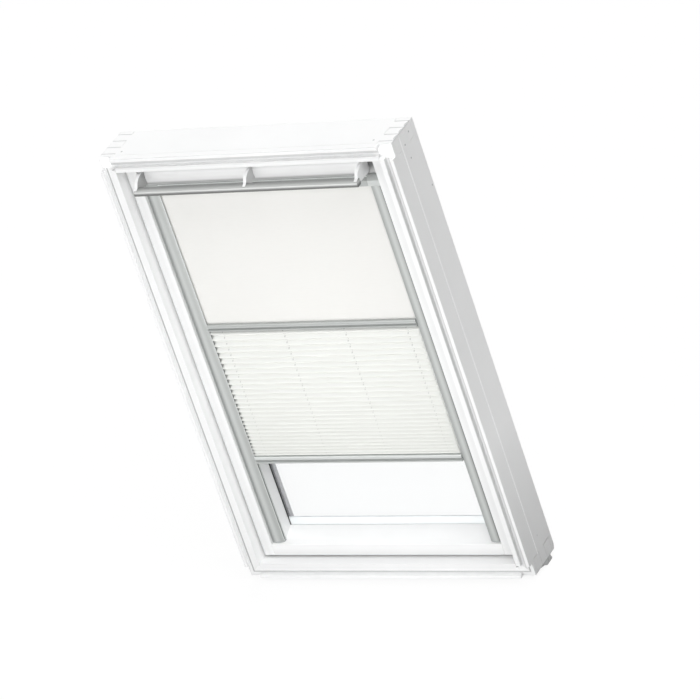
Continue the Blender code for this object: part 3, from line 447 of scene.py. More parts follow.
def drawn_metal(name, colour, roughness, stretch, metallic=1.0, marks=None):
    """Anodised or brushed metal, with fine lines along its length."""
    finish = Finish(name, colour, roughness, metallic)
    lines = finish.grain(1.0, 4.0, stretch)
    finish.tint(lines, shade(colour, 0.965), shade(colour, 1.03))
    finish.rough(lines, roughness - 0.05, roughness + 0.07)
    finish.bump(lines, 0.00002)
    if marks:
        marks(finish)
    return finish.material


def shade_across_box(node, axis, stops):
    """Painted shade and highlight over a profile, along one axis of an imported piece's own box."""
    low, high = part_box(node)

    def marks(finish):
        finish.tone_along(finish.axes()[axis], low[axis], high[axis], stops)

    return marks


# Painted highlight and shade from the rail's inner edge to its outer one: a bright inner edge, the crown and
# the edge groove
RAIL_SHADING = [(0.0, 1.24), (0.03, 1.24), (0.05, 0.76), (0.12, 0.75), (0.22, 0.77), (0.35, 0.90),
              (0.47, 1.00), (0.58, 1.00), (0.68, 0.88), (0.76, 0.71), (0.84, 0.58), (0.89, 0.70),
              (0.94, 1.00), (0.978, 1.00), (0.992, 0.42), (1.0, 0.42)]
RAIL_SEAT = 0.0059
RAIL_SEAT_SHADE = 0.60


def rail_shading(finish):
    """Painted shade and highlight for the rail's rounded crown and edge groove, and a painted shadow where
    the right rail meets the sash.
    """
    low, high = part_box("side_rail_right")
    x = finish.axes()[0]
    finish.tone_along(finish.math("ABSOLUTE", x, 0.0), low.x, high.x, RAIL_SHADING)
    finish.tone_where(finish.math("GREATER_THAN", x, high.x - RAIL_SEAT), RAIL_SEAT_SHADE)


# The sash's sides from the opening to their outer edge
SASH_SIDE_INNER = 0.3150
SASH_SIDE_SHADE = [(0.0, 0.98), (0.2, 0.96), (0.45, 0.91), (0.62, 0.93), (0.8, 0.93), (1.0, 0.90)]


def sash_side_shade(finish):
    """A painted shade: the sash's sides are a little less bright towards the frame."""
    from_middle = finish.math("ABSOLUTE", finish.axes()[0], 0.0)
    finish.tone_along(from_middle, SASH_SIDE_INNER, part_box("sash_side_right")[1].x, SASH_SIDE_SHADE)


SASH_FOOT_FADE = 0.022
SASH_FOOT_SHADE = 0.84
NOOK_X = 0.284
NOOK_Z = 1.09
NOOK_SHADOW = 0.64
NOOK_FADE = (1.121, 1.108)
NOOK_FADE_SHADOW = 0.52


def sash_level_shade(finish):
    """A painted shade darkens the bottom member to its lower edge, and a painted shadow lies on the top one
    at the right, behind the bracket.
    """
    x, y, z = finish.axes()
    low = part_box("sash_bottom")[0]
    front = finish.math("LESS_THAN", y, low.y + TOUCH)
    finish.tone_fade(front, z, low.z, low.z + SASH_FOOT_FADE, SASH_FOOT_SHADE)
    nook = finish.both(finish.math("GREATER_THAN", x, NOOK_X), finish.math("GREATER_THAN", z, NOOK_Z))
    finish.tone_where(nook, NOOK_SHADOW)
    finish.tone_fade(nook, z, *NOOK_FADE, NOOK_FADE_SHADOW)


CASING_EDGE = 1.0934
CASING_EDGE_WIDTH = 0.0021
CASING_EDGE_HIGHLIGHT = 2.30
CASING_FOOT_WIDTH = 0.0055
CASING_FOOT_SHADE = 0.78


def casing_highlight_and_shade(finish):
    """A painted highlight along the head box's lower edge, seen between the flap and the control bar, over a
    painted shade along its foot.
    """
    z = finish.axes()[2]
    finish.tone_where(finish.math("LESS_THAN", z, CASING_EDGE + CASING_FOOT_WIDTH), CASING_FOOT_SHADE)
    finish.tone_where(finish.within(z, CASING_EDGE, CASING_EDGE + CASING_EDGE_WIDTH), CASING_EDGE_HIGHLIGHT)


# Painted shade on each bracket's sideways faces, as a share of the white
WEB_SHADE = {"left": 0.43, "middle": 0.66, "right": 0.94}
WEB_FACING = 0.8


def bracket_side_shade(label):
    """Painted shade on the bracket's side faces, deeper on some brackets than others; its front band stays
    white.
    """

    def marks(finish):
        facing = finish.node("ShaderNodeSeparateXYZ")
        geometry = finish.node("ShaderNodeNewGeometry")
        finish.link(geometry.outputs["True Normal"], facing.inputs["Vector"])
        sideways = finish.math("ABSOLUTE", facing.outputs["X"], 0.0)
        finish.tone_where(finish.math("GREATER_THAN", sideways, WEB_FACING), WEB_SHADE[label])

    return marks


def plated(name, colour):
    """Zinc plate, clouded a little."""
    finish = Finish(name, colour, 0.34, 1.0)
    cloud = finish.grain(130.0, 4.0)
    finish.tint(cloud, shade(colour, 0.86), shade(colour, 1.08))
    finish.rough(finish.grain(300.0, 3.0), 0.26, 0.46)
    finish.bump(finish.grain(1500.0, 2.0), 0.00002)
    return finish.material


def coated_cover(name, colour):
    """Weather coat on the outside covers: matte, with a faint film of dust."""
    finish = Finish(name, colour, 0.5, 0.3)
    finish.tint(finish.grain(14.0, 5.0), shade(colour, 0.90), shade(colour, 1.12))
    finish.rough(finish.grain(45.0, 4.0), 0.42, 0.62)
    finish.bump(finish.grain(800.0, 3.0), 0.00005)
    return finish.material


def rubber(name, colour):
    finish = Finish(name, colour, 0.7)
    finish.tint(finish.grain(50.0, 3.0), shade(colour, 0.8), shade(colour, 1.35))
    finish.rough(finish.grain(120.0, 2.0), 0.60, 0.80)
    finish.bump(finish.grain(1800.0, 2.0), 0.00004)
    return finish.material


def woven(name, colour, pitch, relief):
    """Plain weave: ribs across both ways, with slubs and a soft sheen."""
    finish = Finish(name, colour, 0.85)
    weave = finish.math("MULTIPLY", finish.threads(pitch, "X"), finish.threads(pitch, "Z"))
    slubs = finish.grain(1.0, 3.0, (60.0, 60.0, 900.0))
    finish.tint(slubs, shade(colour, 0.988), shade(colour, 1.006))
    finish.bump(weave, relief)
    finish.bump(slubs, relief / 2)
    finish.rough(finish.grain(300.0, 2.0), 0.78, 0.92)
    finish.put("Sheen Weight", 0.10)
    return finish.material


CORDS = (1, 2, 3, 4)
# The painted shade round each cord's hole: its half width, its darkness and how far below the pleats it
# fades out
HOLE_SHADE_HALF = 0.0016
HOLE_SHADE_TONE = 0.70
HOLE_SHADE_FADE_BELOW = 0.06


def cord_hole_shade(finish):
    """A painted shade in the pleats round each cord's hole, fainter towards the bottom bar."""
    x, y, z = finish.axes()
    low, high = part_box("pleated_cloth")
    fold_y = (low.y + high.y) / 2
    for number in CORDS:
        cord_low, cord_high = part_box(f"pleat_cord_{number}")
        cord_x = (cord_low.x + cord_high.x) / 2
        hole_shade = finish.both(finish.within(x, cord_x - HOLE_SHADE_HALF, cord_x + HOLE_SHADE_HALF),
                           finish.within(y, fold_y - HOLE_SHADE_HALF, fold_y + HOLE_SHADE_HALF))
        finish.tone_fade(hole_shade, z, high.z, low.z - HOLE_SHADE_FADE_BELOW, HOLE_SHADE_TONE)


def spun_pleats(name, colour):
    """Thin spun-bonded polyester, set hard into pleats."""
    finish = Finish(name, colour, 0.8)
    fibres = finish.grain(1.0, 4.0, (350.0, 1400.0, 1400.0))
    finish.tint(fibres, shade(colour, 0.985), shade(colour, 1.006))
    finish.bump(fibres, 0.00005)
    finish.rough(finish.grain(250.0, 2.0), 0.72, 0.88)
    finish.put("Sheen Weight", 0.08)
    cord_hole_shade(finish)
    return finish.material


GLOSS_RISE = 4.0
GLOSS_LEAST = 0.03


def glass(name, tint, enamel=None):
    """A clear pane: gloss on a see-through sheet; below the enamel's height it is opaque white."""
    finish = Finish(name, (0.93, 0.96, 0.97), 0.03)
    finish.put("IOR", 1.5)
    finish.rough(finish.grain(3.0, 2.0), 0.015, 0.05)
    clear = finish.node("ShaderNodeBsdfTransparent")
    clear.inputs["Color"].default_value = (*tint, 1.0)
    facing = finish.node("ShaderNodeLayerWeight").outputs["Facing"]
    gloss = finish.math("ADD", finish.math("POWER", facing, GLOSS_RISE), GLOSS_LEAST)
    if enamel is not None:
        gloss = finish.math("MAXIMUM", gloss, finish.math("LESS_THAN", finish.axes()[2], enamel))
    mix = finish.node("ShaderNodeMixShader")
    finish.link(gloss, mix.inputs["Fac"])
    finish.link(clear.outputs["BSDF"], mix.inputs[1])
    finish.link(finish.shader.outputs["BSDF"], mix.inputs[2])
    output = finish.tree.nodes["Material Output"]
    finish.link(mix.outputs["Shader"], output.inputs["Surface"])
    return finish.material


ENAMEL_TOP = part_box("glazing_gasket")[0].z + 0.0377
CLEAR_TINT = (0.999, 1.0, 1.0)
WHITE = (0.872, 0.876, 0.876)
METAL = (0.497, 0.515, 0.505)
UPRIGHT_GRAIN = (260.0, 260.0, 9.0)
LEVEL_GRAIN = (9.0, 260.0, 260.0)
ALONG_X = (5.0, 1500.0, 1500.0)
ALONG_Z = (1500.0, 1500.0, 5.0)

# Painted shade and highlight across the bars and the flap, from the lower edge up, as (share of the height,
# brightness)
MID_BAR_SHADING = [(0.0, 0.86), (0.24, 0.84), (0.29, 0.58), (0.45, 0.58), (0.52, 1.04), (0.62, 1.06),
                 (0.72, 0.80), (0.85, 0.84), (1.0, 0.95)]
BOTTOM_BAR_SHADING = [(0.0, 0.88), (0.27, 0.90), (0.32, 0.54), (0.49, 0.54), (0.55, 0.95),
                    (0.66, 1.26), (0.74, 1.10), (0.86, 1.10), (1.0, 1.45)]
CONTROL_BAR_SHADING = [(0.0, 0.28), (0.20, 0.30), (0.32, 0.36), (0.44, 0.58), (0.54, 0.84),
                     (0.66, 1.0), (0.75, 0.96), (0.84, 0.86), (0.92, 0.66), (1.0, 0.56)]
FLAP_SHADING = [(0.0, 0.60), (0.225, 0.60), (0.245, 0.38), (0.27, 0.42), (0.30, 0.58), (0.35, 0.78),
              (0.41, 0.98), (0.50, 1.06), (0.60, 1.14), (0.82, 1.14), (0.88, 1.02), (0.93, 0.84),
              (1.0, 0.80)]

LOOKS = {
    "timber_upright": painted("white_timber_upright", WHITE, UPRIGHT_GRAIN, FrameShading),
    "timber_level": painted("white_timber_level", WHITE, LEVEL_GRAIN, FrameShading),
    "sash_upright": painted("white_sash_upright", WHITE, UPRIGHT_GRAIN, sash_side_shade),
    "sash_level": painted("white_sash_level", WHITE, LEVEL_GRAIN, sash_level_shade),
    "white_metal": lacquered("white_lacquer", WHITE),
    "flap": lacquered("flap_lacquer", WHITE, 0.34, shade_across_box("vent_flap", 2, FLAP_SHADING)),
    "white_plastic": moulded("white_moulding", WHITE, 0.42),
    # Copies of the white moulding with painted shade on their sides, one for each bracket
    "bracket_left": moulded("bracket_moulding_shaded_left", WHITE, 0.42, bracket_side_shade("left")),
    "bracket_middle": moulded("bracket_moulding_shaded_middle", WHITE, 0.42, bracket_side_shade("middle")),
    "bracket_right": moulded("bracket_moulding_shaded_right", WHITE, 0.42, bracket_side_shade("right")),
    "grey_plastic": moulded("grey_moulding", (0.40, 0.42, 0.42)),
    "pin": moulded("pin_filler", (0.52, 0.53, 0.53), 0.6),
    "rail": drawn_metal("anodised_rail", METAL, 0.42, ALONG_Z, 0.30, rail_shading),
    "bar": drawn_metal("anodised_bar", METAL, 0.42, ALONG_X, 0.30),
    "headbox": drawn_metal("anodised_headbox", METAL, 0.42, ALONG_X, 0.30, casing_highlight_and_shade),
    "mid_bar": drawn_metal("anodised_mid_bar", METAL, 0.42, ALONG_X, 0.30,
                           shade_across_box("mid_bar", 2, MID_BAR_SHADING)),
    "bottom_bar": drawn_metal("anodised_bottom_bar", METAL, 0.42, ALONG_X, 0.30,
                              shade_across_box("bottom_bar", 2, BOTTOM_BAR_SHADING)),
    "control_bar": drawn_metal("brushed_control_bar", (0.50, 0.51, 0.50), 0.36,
                               (14.0, 2200.0, 2200.0), 0.40,
                               shade_across_box("control_bar", 2, CONTROL_BAR_SHADING)),
    "brushed": drawn_metal("brushed_tube", (0.56, 0.57, 0.56), 0.36, (14.0, 2200.0, 2200.0), 0.70),
    "spacer_metal": drawn_metal("spacer_bar", (0.50, 0.50, 0.52), 0.42, (400.0, 400.0, 20.0), 0.5),
    "cover_metal": coated_cover("grey_cover", (0.24, 0.25, 0.26)),
    "steel": plated("zinc_plate", (0.62, 0.62, 0.62)),
    "rubber": rubber("seal_rubber", (0.045, 0.045, 0.045)),
    "glass": glass("window_glass", CLEAR_TINT),
    "inner_glass": glass("inner_glass", CLEAR_TINT, ENAMEL_TOP),
    "blackout": woven("blackout_weave", (0.792, 0.788, 0.765), 0.0007, 0.00006),
    "pleats": spun_pleats("pleat_cloth", (0.812, 0.819, 0.795)),
    "cord": woven("cord_braid", (0.36, 0.36, 0.35), 0.0004, 0.00006),
}
SLOT_LOOKS = {
    "white_wood": "timber_level",
    "white_metal": "white_metal",
    "white_plastic": "white_plastic",
    "grey_plastic": "grey_plastic",
    "rail_aluminium": "bar",
    "brushed_aluminium": "brushed",
    "spacer_metal": "spacer_metal",
    "cover_metal": "cover_metal",
    "steel": "steel",
    "rubber": "rubber",
    "glass": "glass",
    "blackout_fabric": "blackout",
    "pleated_fabric": "pleats",
    "cord": "cord",
}
NODE_LOOKS = {
    "frame_side_left": "timber_upright",
    "frame_side_right": "timber_upright",
    "sash_side_left": "sash_upright",
    "sash_side_right": "sash_upright",
    "sash_top": "sash_level",
    "sash_bottom": "sash_level",
    "vent_flap": "flap",
    "bar_bracket_left": "bracket_left",
    "bar_bracket_middle": "bracket_middle",
    "bar_bracket_right": "bracket_right",
    "control_bar": "control_bar",
    "headbox_casing": "headbox",
    "mid_bar": "mid_bar",
    "bottom_bar": "bottom_bar",
    "inner_pane": "inner_glass",
    "side_rail_left": "rail",
    "side_rail_right": "rail",
}


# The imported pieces: softened edges and a finish

EDGE = {
    "frame_": 0.0007,
    "sash_": 0.0007,
    "frame_cover_": 0.0003,
    "sash_cover_": 0.0003,
    "frame_hood": 0.0003,
    "frame_hinge_": 0.0003,
    "sash_hinge_": 0.0003,
    "vent_flap": 0.0006,
    "control_bar": 0.0005,
    "bar_bracket_": 0.0006,
    "headbox_casing": 0.0002,
    "headbox_end_": 0.0004,
    "side_rail_": 0.00025,
    "mid_bar": 0.0003,
    "bottom_bar": 0.0003,
    "inner_pane": 0.0004,
    "outer_pane": 0.0004,
    "roller_": 0.0002,
    "lock_": 0.0003,
}
EDGE_OTHERS = 0.0002


def edge_of(name):
    """The longest matching start of the name decides the edge's radius."""
    fits = [start for start in EDGE if name.startswith(start)]
    return EDGE[max(fits, key=len)] if fits else EDGE_OTHERS


def round_edges(obj, radius, segments=2, over=28.0):
    """Weld what the file split, round the sharp edges and let flat faces keep their shading."""
    weld = obj.modifiers.new("weld", "WELD")
    weld.merge_threshold = 0.00001
    flats = obj.modifiers.new("whole flats", "DECIMATE")
    flats.decimate_type = "DISSOLVE"
    flats.angle_limit = math.radians(1.0)
    bevel = obj.modifiers.new("round edges", "BEVEL")
    bevel.width = radius
    bevel.segments = segments
    bevel.limit_method = "ANGLE"
    bevel.angle_limit = math.radians(over)
    bevel.use_clamp_overlap = False
    normals = obj.modifiers.new("flat faces", "WEIGHTED_NORMAL")
    normals.keep_sharp = False
    normals.weight = 100


def finish_packed_pieces():
    for name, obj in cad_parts.items():
        slot_name = obj.material_slots[0].material.name
        look = LOOKS[NODE_LOOKS.get(name, SLOT_LOOKS[slot_name])]
        obj.material_slots[0].material = look
        round_edges(obj, edge_of(name))


finish_packed_pieces()


# Making pieces


def new_piece(name, mesh, look, body=None, sharp=35.0):
    obj = bpy.data.objects.new(name, mesh)
    bpy.context.scene.collection.objects.link(obj)
    mesh.materials.clear()
    mesh.materials.append(LOOKS[look])
    mesh.shade_smooth()
    mesh.set_sharp_from_angle(angle=math.radians(sharp))
    if body is not None:
        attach(obj, body)
    return obj


def grid_mesh(name, rows, columns, point):
    """A sheet of rows by columns points; point(row, column) gives each place."""
    mesh = bpy.data.meshes.new(name)
    shape = bmesh.new()
    verts = [[shape.verts.new(point(row, column)) for column in range(columns)]
             for row in range(rows)]
    for row in range(rows - 1):
        for column in range(columns - 1):
            shape.faces.new((verts[row][column], verts[row + 1][column],
                             verts[row + 1][column + 1], verts[row][column + 1]))
    shape.to_mesh(mesh)
    shape.free()
    return mesh


def thicken(obj, thickness, offset=0.0):
    shell = obj.modifiers.new("thickness", "SOLIDIFY")
    shell.thickness = thickness
    shell.offset = offset
    shell.use_even_offset = True


def rounded_path(points, radius, steps):
    """The path through the points with each inner corner turned on a small arc."""
    path = [Vector(points[0])]
    for before, corner, after in zip(points, points[1:], points[2:]):
        before, corner, after = Vector(before), Vector(corner), Vector(after)
        come, go = (before - corner).normalized(), (after - corner).normalized()
        half = come.angle(go) / 2
        reach = min(radius / math.tan(half), (before - corner).length * 0.45,
                    (after - corner).length * 0.45)
        start, end = corner + come * reach, corner + go * reach
        for step in range(steps + 1):
            share = step / steps
            low = start.lerp(corner, share)
            high = corner.lerp(end, share)
            path.append(low.lerp(high, share))
    path.append(Vector(points[-1]))
    return path


def straight_blend(obj, upper, lower, head, foot):
    """The cloth follows the upper body at its head and the lower one at its foot, evenly between."""
    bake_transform(obj, upper, lower, start=(0, 0, head), end=(0, 0, foot))
    weights = obj.data.attributes["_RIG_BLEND"].data
    for vertex, weight in zip(obj.data.vertices, weights):
        weight.value = min(1.0, max(0.0, (head - vertex.co.z) / (head - foot)))


# The blackout cloth and its roll

BLACKOUT_THICKNESS = 0.0004
BLACKOUT_ROWS = 60
BLACKOUT_COLUMNS = 48
BLACKOUT_RIPPLE = 0.00025
RIPPLE_ACROSS = 1.6
RIPPLE_DOWN = 4.0
RIPPLE_STARTS = 0.03
RAIL_CLOTH_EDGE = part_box("blackout_cloth")[1].x
TONGUE_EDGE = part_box("blackout_roll")[1].x - 0.0004
ROLL_LOW, ROLL_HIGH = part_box("blackout_roll")
ROLL_Z = (ROLL_LOW.z + ROLL_HIGH.z) / 2
ROLL_Y = (ROLL_LOW.y + ROLL_HIGH.y) / 2
ROLL_RADIUS = (ROLL_HIGH.z - ROLL_LOW.z) / 2
TUBE_RADIUS = (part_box("roller_tube")[1].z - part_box("roller_tube")[0].z) / 2
ROLL_TURNS = 5
ROLL_STEPS = 48
ROLL_COLUMNS = 7


def build_blackout():
    low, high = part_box("blackout_cloth")
    middle = (low.y + high.y) / 2
    narrow_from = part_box("headbox_casing")[0].z - 2 * GAP

    def point(row, column):
        z = high.z + (low.z - high.z) * row / (BLACKOUT_ROWS - 1)
        edge = TONGUE_EDGE if z > narrow_from else RAIL_CLOTH_EDGE
        share = 2 * column / (BLACKOUT_COLUMNS - 1) - 1
        held = min(1.0, (high.z - z) / RIPPLE_STARTS) * min(1.0, (z - low.z) / RIPPLE_STARTS)
        ripple = noise.noise((share * RIPPLE_ACROSS, 0.0, z * RIPPLE_DOWN)) * BLACKOUT_RIPPLE
        return (edge * share, middle + ripple * (1 - share ** 8) * held, z)

    mesh = grid_mesh("blackout_blind_cloth", BLACKOUT_ROWS, BLACKOUT_COLUMNS, point)
    cloth = new_piece("blackout_blind_cloth", mesh, "blackout")
    straight_blend(cloth, "sash", "mid_bar", high.z, low.z)
    thicken(cloth, BLACKOUT_THICKNESS)
    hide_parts("blackout_cloth")


def build_roll():
    """The wound part of the blackout cloth, one turn lying on the next."""
    inner = TUBE_RADIUS + GAP + BLACKOUT_THICKNESS
    outer = ROLL_RADIUS - BLACKOUT_THICKNESS
    count = ROLL_TURNS * ROLL_STEPS
    line = []
    for index in range(count + 1):
        share = index / count
        angle = math.pi - 2 * math.pi * ROLL_TURNS * (1 - share)
        radius = inner + (outer - inner) * share
        line.append((ROLL_Y + radius * math.cos(angle), ROLL_Z + radius * math.sin(angle)))

    def point(row, column):
        y, z = line[row]
        return (TONGUE_EDGE * (2 * column / (ROLL_COLUMNS - 1) - 1), y, z)

    mesh = grid_mesh("blackout_cloth_roll", count + 1, ROLL_COLUMNS, point)
    roll = new_piece("blackout_cloth_roll", mesh, "blackout", "roller")
    thicken(roll, BLACKOUT_THICKNESS)
    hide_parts("blackout_roll")


# The pleated cloth and its cords

PLEATS = 28
PLEAT_TIGHTENING = 0.52
PLEAT_THICKNESS = 0.0003
PLEAT_FOLD_RADIUS = 0.0005
PLEAT_FOLD_STEPS = 3
PLEAT_COLUMNS = 90
PLEAT_WOBBLE = 0.0003
WOBBLE_SCALES = (3.0, 60.0, 25.0)
WOBBLE_STARTS = 0.02


def pleat_heights(head, foot):
    """Fold heights from the top down; the pitch shrinks towards the bottom bar."""
    folds = 2 * PLEATS
    steps = [1 - PLEAT_TIGHTENING * (index + 0.5) / folds for index in range(folds)]
    unit = (head - foot) / sum(steps)
    heights = [head]
    for step in steps:
        heights.append(heights[-1] - step * unit)
    return heights


def build_pleats():
    low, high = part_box("pleated_cloth")
    front = low.y + PLEAT_THICKNESS / 2
    back = high.y - PLEAT_THICKNESS / 2
    heights = pleat_heights(high.z, low.z)
    folds = [(back if index % 2 == 0 else front, z, 0) for index, z in enumerate(heights)]
    path = rounded_path(folds, PLEAT_FOLD_RADIUS, PLEAT_FOLD_STEPS)

    def point(row, column):
        y, z = path[row].xy
        share = 2 * column / (PLEAT_COLUMNS - 1) - 1
        calm = max(0.0, min(1.0, (high.z - z) / WOBBLE_STARTS, (z - low.z) / WOBBLE_STARTS))
        spot = [place * scale for place, scale in zip((share, y, z), WOBBLE_SCALES)]
        return (high.x * share, y, z + noise.noise(spot) * PLEAT_WOBBLE * calm)

    mesh = grid_mesh("pleated_blind_cloth", len(path), PLEAT_COLUMNS, point)
    cloth = new_piece("pleated_blind_cloth", mesh, "pleats", sharp=60.0)
    straight_blend(cloth, "mid_bar", "bottom_bar", high.z, low.z)
    thicken(cloth, PLEAT_THICKNESS)
    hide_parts("pleated_cloth")


CORD_FORWARD = 0.0017
CORD_SLIMMER = 0.92
CORD_ROWS = 90
CORD_COLUMNS = 9
CORD_STRANDS = 3
CORD_LAY = 0.08
CORD_TWIST = 1.9


def build_cords():
    """The tensioned cords through the pleats."""
    for number in CORDS:
        low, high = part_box(f"pleat_cord_{number}")
        x, y = (low.x + high.x) / 2, (low.y + high.y) / 2 - CORD_FORWARD
        radius = (high.y - low.y) / 2 * CORD_SLIMMER

        def point(row, column):
            z = high.z + (low.z - high.z) * row / (CORD_ROWS - 1)
            angle = 2 * math.pi * (column % (CORD_COLUMNS - 1)) / (CORD_COLUMNS - 1)
            lay = 1 + CORD_LAY * math.sin(CORD_STRANDS * angle + row * CORD_TWIST)
            return (x + radius * lay * math.cos(angle), y + radius * lay * math.sin(angle), z)

        mesh = grid_mesh(f"blind_cord_{number}", CORD_ROWS, CORD_COLUMNS, point)
        close_tube(mesh)
        cord = new_piece(f"blind_cord_{number}", mesh, "cord", sharp=80.0)
        straight_blend(cord, "mid_bar", "bottom_bar", high.z, low.z)
        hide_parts(f"pleat_cord_{number}")


def close_tube(mesh):
    """Join the tube's seam and cap its ends."""
    shape = bmesh.new()
    shape.from_mesh(mesh)
    bmesh.ops.remove_doubles(shape, verts=shape.verts, dist=0.00001)
    bmesh.ops.holes_fill(shape, edges=shape.edges, sides=0)
    bmesh.ops.recalc_face_normals(shape, faces=shape.faces)
    shape.to_mesh(mesh)
    shape.free()


build_blackout()
build_roll()
build_pleats()
build_cords()


# Screws and filled pin holes. A screw head is (radius, how high its dome is kept, as a share).

SCREW_HEIGHT = 0.38
CROSS_REACH = 1.05
CROSS_WIDTH = 0.24
CROSS_DEPTH = 0.30
FRAME_COVER_SCREW = (0.0034, 0.6)
SASH_COVER_SCREW = (0.0030, 0.6)
HINGE_SCREW = (0.0036, 0.15)
HINGE_SCREW_INSET = 0.009
FIRST_SPIN = 0.3
NEXT_SPIN = 0.7
FRAME_COVER_SHARES = (0.06, 0.35, 0.65, 0.94)
SASH_COVER_SHARES = (0.08, 0.36, 0.64, 0.92)
SIDE_PIN = 0.0024
TOP_PIN = 0.0028
PIN_PROFILE = [(0.0, 0.10), (0.30, 0.09), (0.55, 0.02), (0.62, 0.02), (0.80, 0.12), (1.0, 0.0),
               (1.0, -0.15)]


def dome_profile(radius, height, steps=6):
    """A low screw head from its middle out, as (radius, height)."""
    arc = [(radius * math.sin(a), height * math.cos(a))
           for a in (math.pi / 2 * step / steps for step in range(steps + 1))]
    return arc + [(radius, -height * 0.3)]


def turned_mesh(name, profile, count=20):
    mesh = bpy.data.meshes.new(name)
    shape = bmesh.new()
    top = shape.verts.new((0, 0, profile[0][1]))
    rings = []
    for radius, height in profile[1:]:
        rings.append([shape.verts.new((radius * math.cos(a), radius * math.sin(a), height))
                      for a in (2 * math.pi * i / count for i in range(count))])
    for index in range(count):
        after = (index + 1) % count
        shape.faces.new((top, rings[0][index], rings[0][after]))
        for inner, outer in zip(rings, rings[1:]):
            shape.faces.new((inner[index], outer[index], outer[after], inner[after]))
    shape.faces.new(list(reversed(rings[-1])))
    bmesh.ops.recalc_face_normals(shape, faces=shape.faces)
    shape.to_mesh(mesh)
    shape.free()
    return mesh


def cross_cutter(size, width, depth, top):
    """Two crossed bars that sink the driver's recess into a screw head."""
    mesh = bpy.data.meshes.new("cross_cutter")
    shape = bmesh.new()
    for turn in (0.0, math.pi / 2):
        spin = Matrix.Rotation(turn, 4, "Z")
        place = Matrix.Translation((0, 0, top)) @ spin @ Matrix.Diagonal((size, width, depth * 2, 1))
        bmesh.ops.create_cube(shape, size=1.0, matrix=place)
    shape.to_mesh(mesh)
    shape.free()
    return mesh


def screw_mesh():
    """A screw head of radius 1 with a cross recess, facing +Z."""
    dome = turned_mesh("screw_head", dome_profile(1.0, SCREW_HEIGHT))
    cross = cross_cutter(CROSS_REACH, CROSS_WIDTH, CROSS_DEPTH, SCREW_HEIGHT)
    head = bpy.data.objects.new("screw_head", dome)
    bar = bpy.data.objects.new("screw_cross", cross)
    for obj in (head, bar):
        bpy.context.scene.collection.objects.link(obj)
    cut = head.modifiers.new("recess", "BOOLEAN")
    cut.object = bar
    cut.use_self = True
    bpy.context.view_layer.update()
    graph = bpy.context.evaluated_depsgraph_get()
    mesh = bpy.data.meshes.new_from_object(head.evaluated_get(graph))
    for obj in (head, bar):
        bpy.data.objects.remove(obj, do_unlink=True)
    return mesh


SCREW = screw_mesh()


def screws(name, places, facing, size, body):
    """A group of screw heads that face one way, seated on the given points."""
    radius, flat = size
    turn = Vector(facing).to_track_quat("Z", "Y").to_matrix().to_4x4()
    shape = bmesh.new()
    for index, place in enumerate(places):
        spin = Matrix.Rotation(NEXT_SPIN * index + FIRST_SPIN, 4, "Z")
        scale = Matrix.Diagonal((radius, radius, radius * flat, 1))
        copy = SCREW.copy()
        copy.transform(Matrix.Translation(place) @ turn @ spin @ scale)
        shape.from_mesh(copy)
        bpy.data.meshes.remove(copy)
    mesh = bpy.data.meshes.new(name)
    shape.to_mesh(mesh)
    shape.free()
    return new_piece(name, mesh, "steel", body, sharp=40.0)


def plugs(name, places, facing, radius, body):
    """Painted pin heads: a shallow ringed button in the frame's outer face."""
    turn = Vector(facing).to_track_quat("Z", "Y").to_matrix().to_4x4()
    shape = bmesh.new()
    for place in places:
        copy = turned_mesh("plug", PIN_PROFILE)
        copy.transform(Matrix.Translation(place) @ turn @ Matrix.Scale(radius, 4))
        shape.from_mesh(copy)
        bpy.data.meshes.remove(copy)
    mesh = bpy.data.meshes.new(name)
    shape.to_mesh(mesh)
    shape.free()
    return new_piece(name, mesh, "pin", body, sharp=50.0)


def on_frame(depth, height):
    """A point of the frame's outer faces, from depth behind its front and height above its foot."""
    return FRAME_FRONT + depth, FRAME_FOOT + height


# Pins in the sides as (depth, height), and in the head as (x, y)
SIDE_PLUGS = [(0.096, 1.162), (0.066, 1.145), (0.073, 1.107), (0.120, 1.007), (0.072, 0.074)]
TOP_PLUGS = [(-0.338, -0.0174), (0.3354, -0.0194)]


def build_fixings():
    for label, side in (("left", -1), ("right", 1)):
        places = []
        for depth, height in SIDE_PLUGS:
            y, z = on_frame(depth, height)
            places.append((side * HALF_WIDTH, y, z))
        plugs(f"frame_pins_{label}", places, (side, 0, 0), SIDE_PIN, "frame")
        cover_screws(label)
        hinge_screws(label, side)
    plugs("frame_pins_top", [(x, y, FRAME_HEAD) for x, y in TOP_PLUGS], (0, 0, 1), TOP_PIN, "frame")


def screw_column(name, box, shares, size, body):
    """Screws down the middle of a cover's outer face, at the given shares of its height."""
    low, high = box
    places = [((low.x + high.x) / 2, high.y, low.z + (high.z - low.z) * share) for share in shares]
    screws(name, places, (0, 1, 0), size, body)


def cover_screws(label):
    screw_column(f"frame_cover_screws_{label}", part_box(f"frame_cover_{label}"),
                 FRAME_COVER_SHARES, FRAME_COVER_SCREW, "frame")
    screw_column(f"sash_cover_screws_{label}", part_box(f"sash_cover_{label}"),
                 SASH_COVER_SHARES, SASH_COVER_SCREW, "sash")


def hinge_screws(label, side):
    """Countersunk screws in the two hinge plates, almost flush, clear of each other."""
    low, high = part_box(f"frame_hinge_{label}")
    inset = HINGE_SCREW_INSET
    inner = low.x if side > 0 else high.x
    places = [(inner, y, z) for y in (low.y + inset, high.y - inset)
              for z in (low.z + inset, high.z - inset)]
    screws(f"frame_hinge_screws_{label}", places, (-side, 0, 0), HINGE_SCREW, "frame")


build_fixings()


# Floor, light and camera


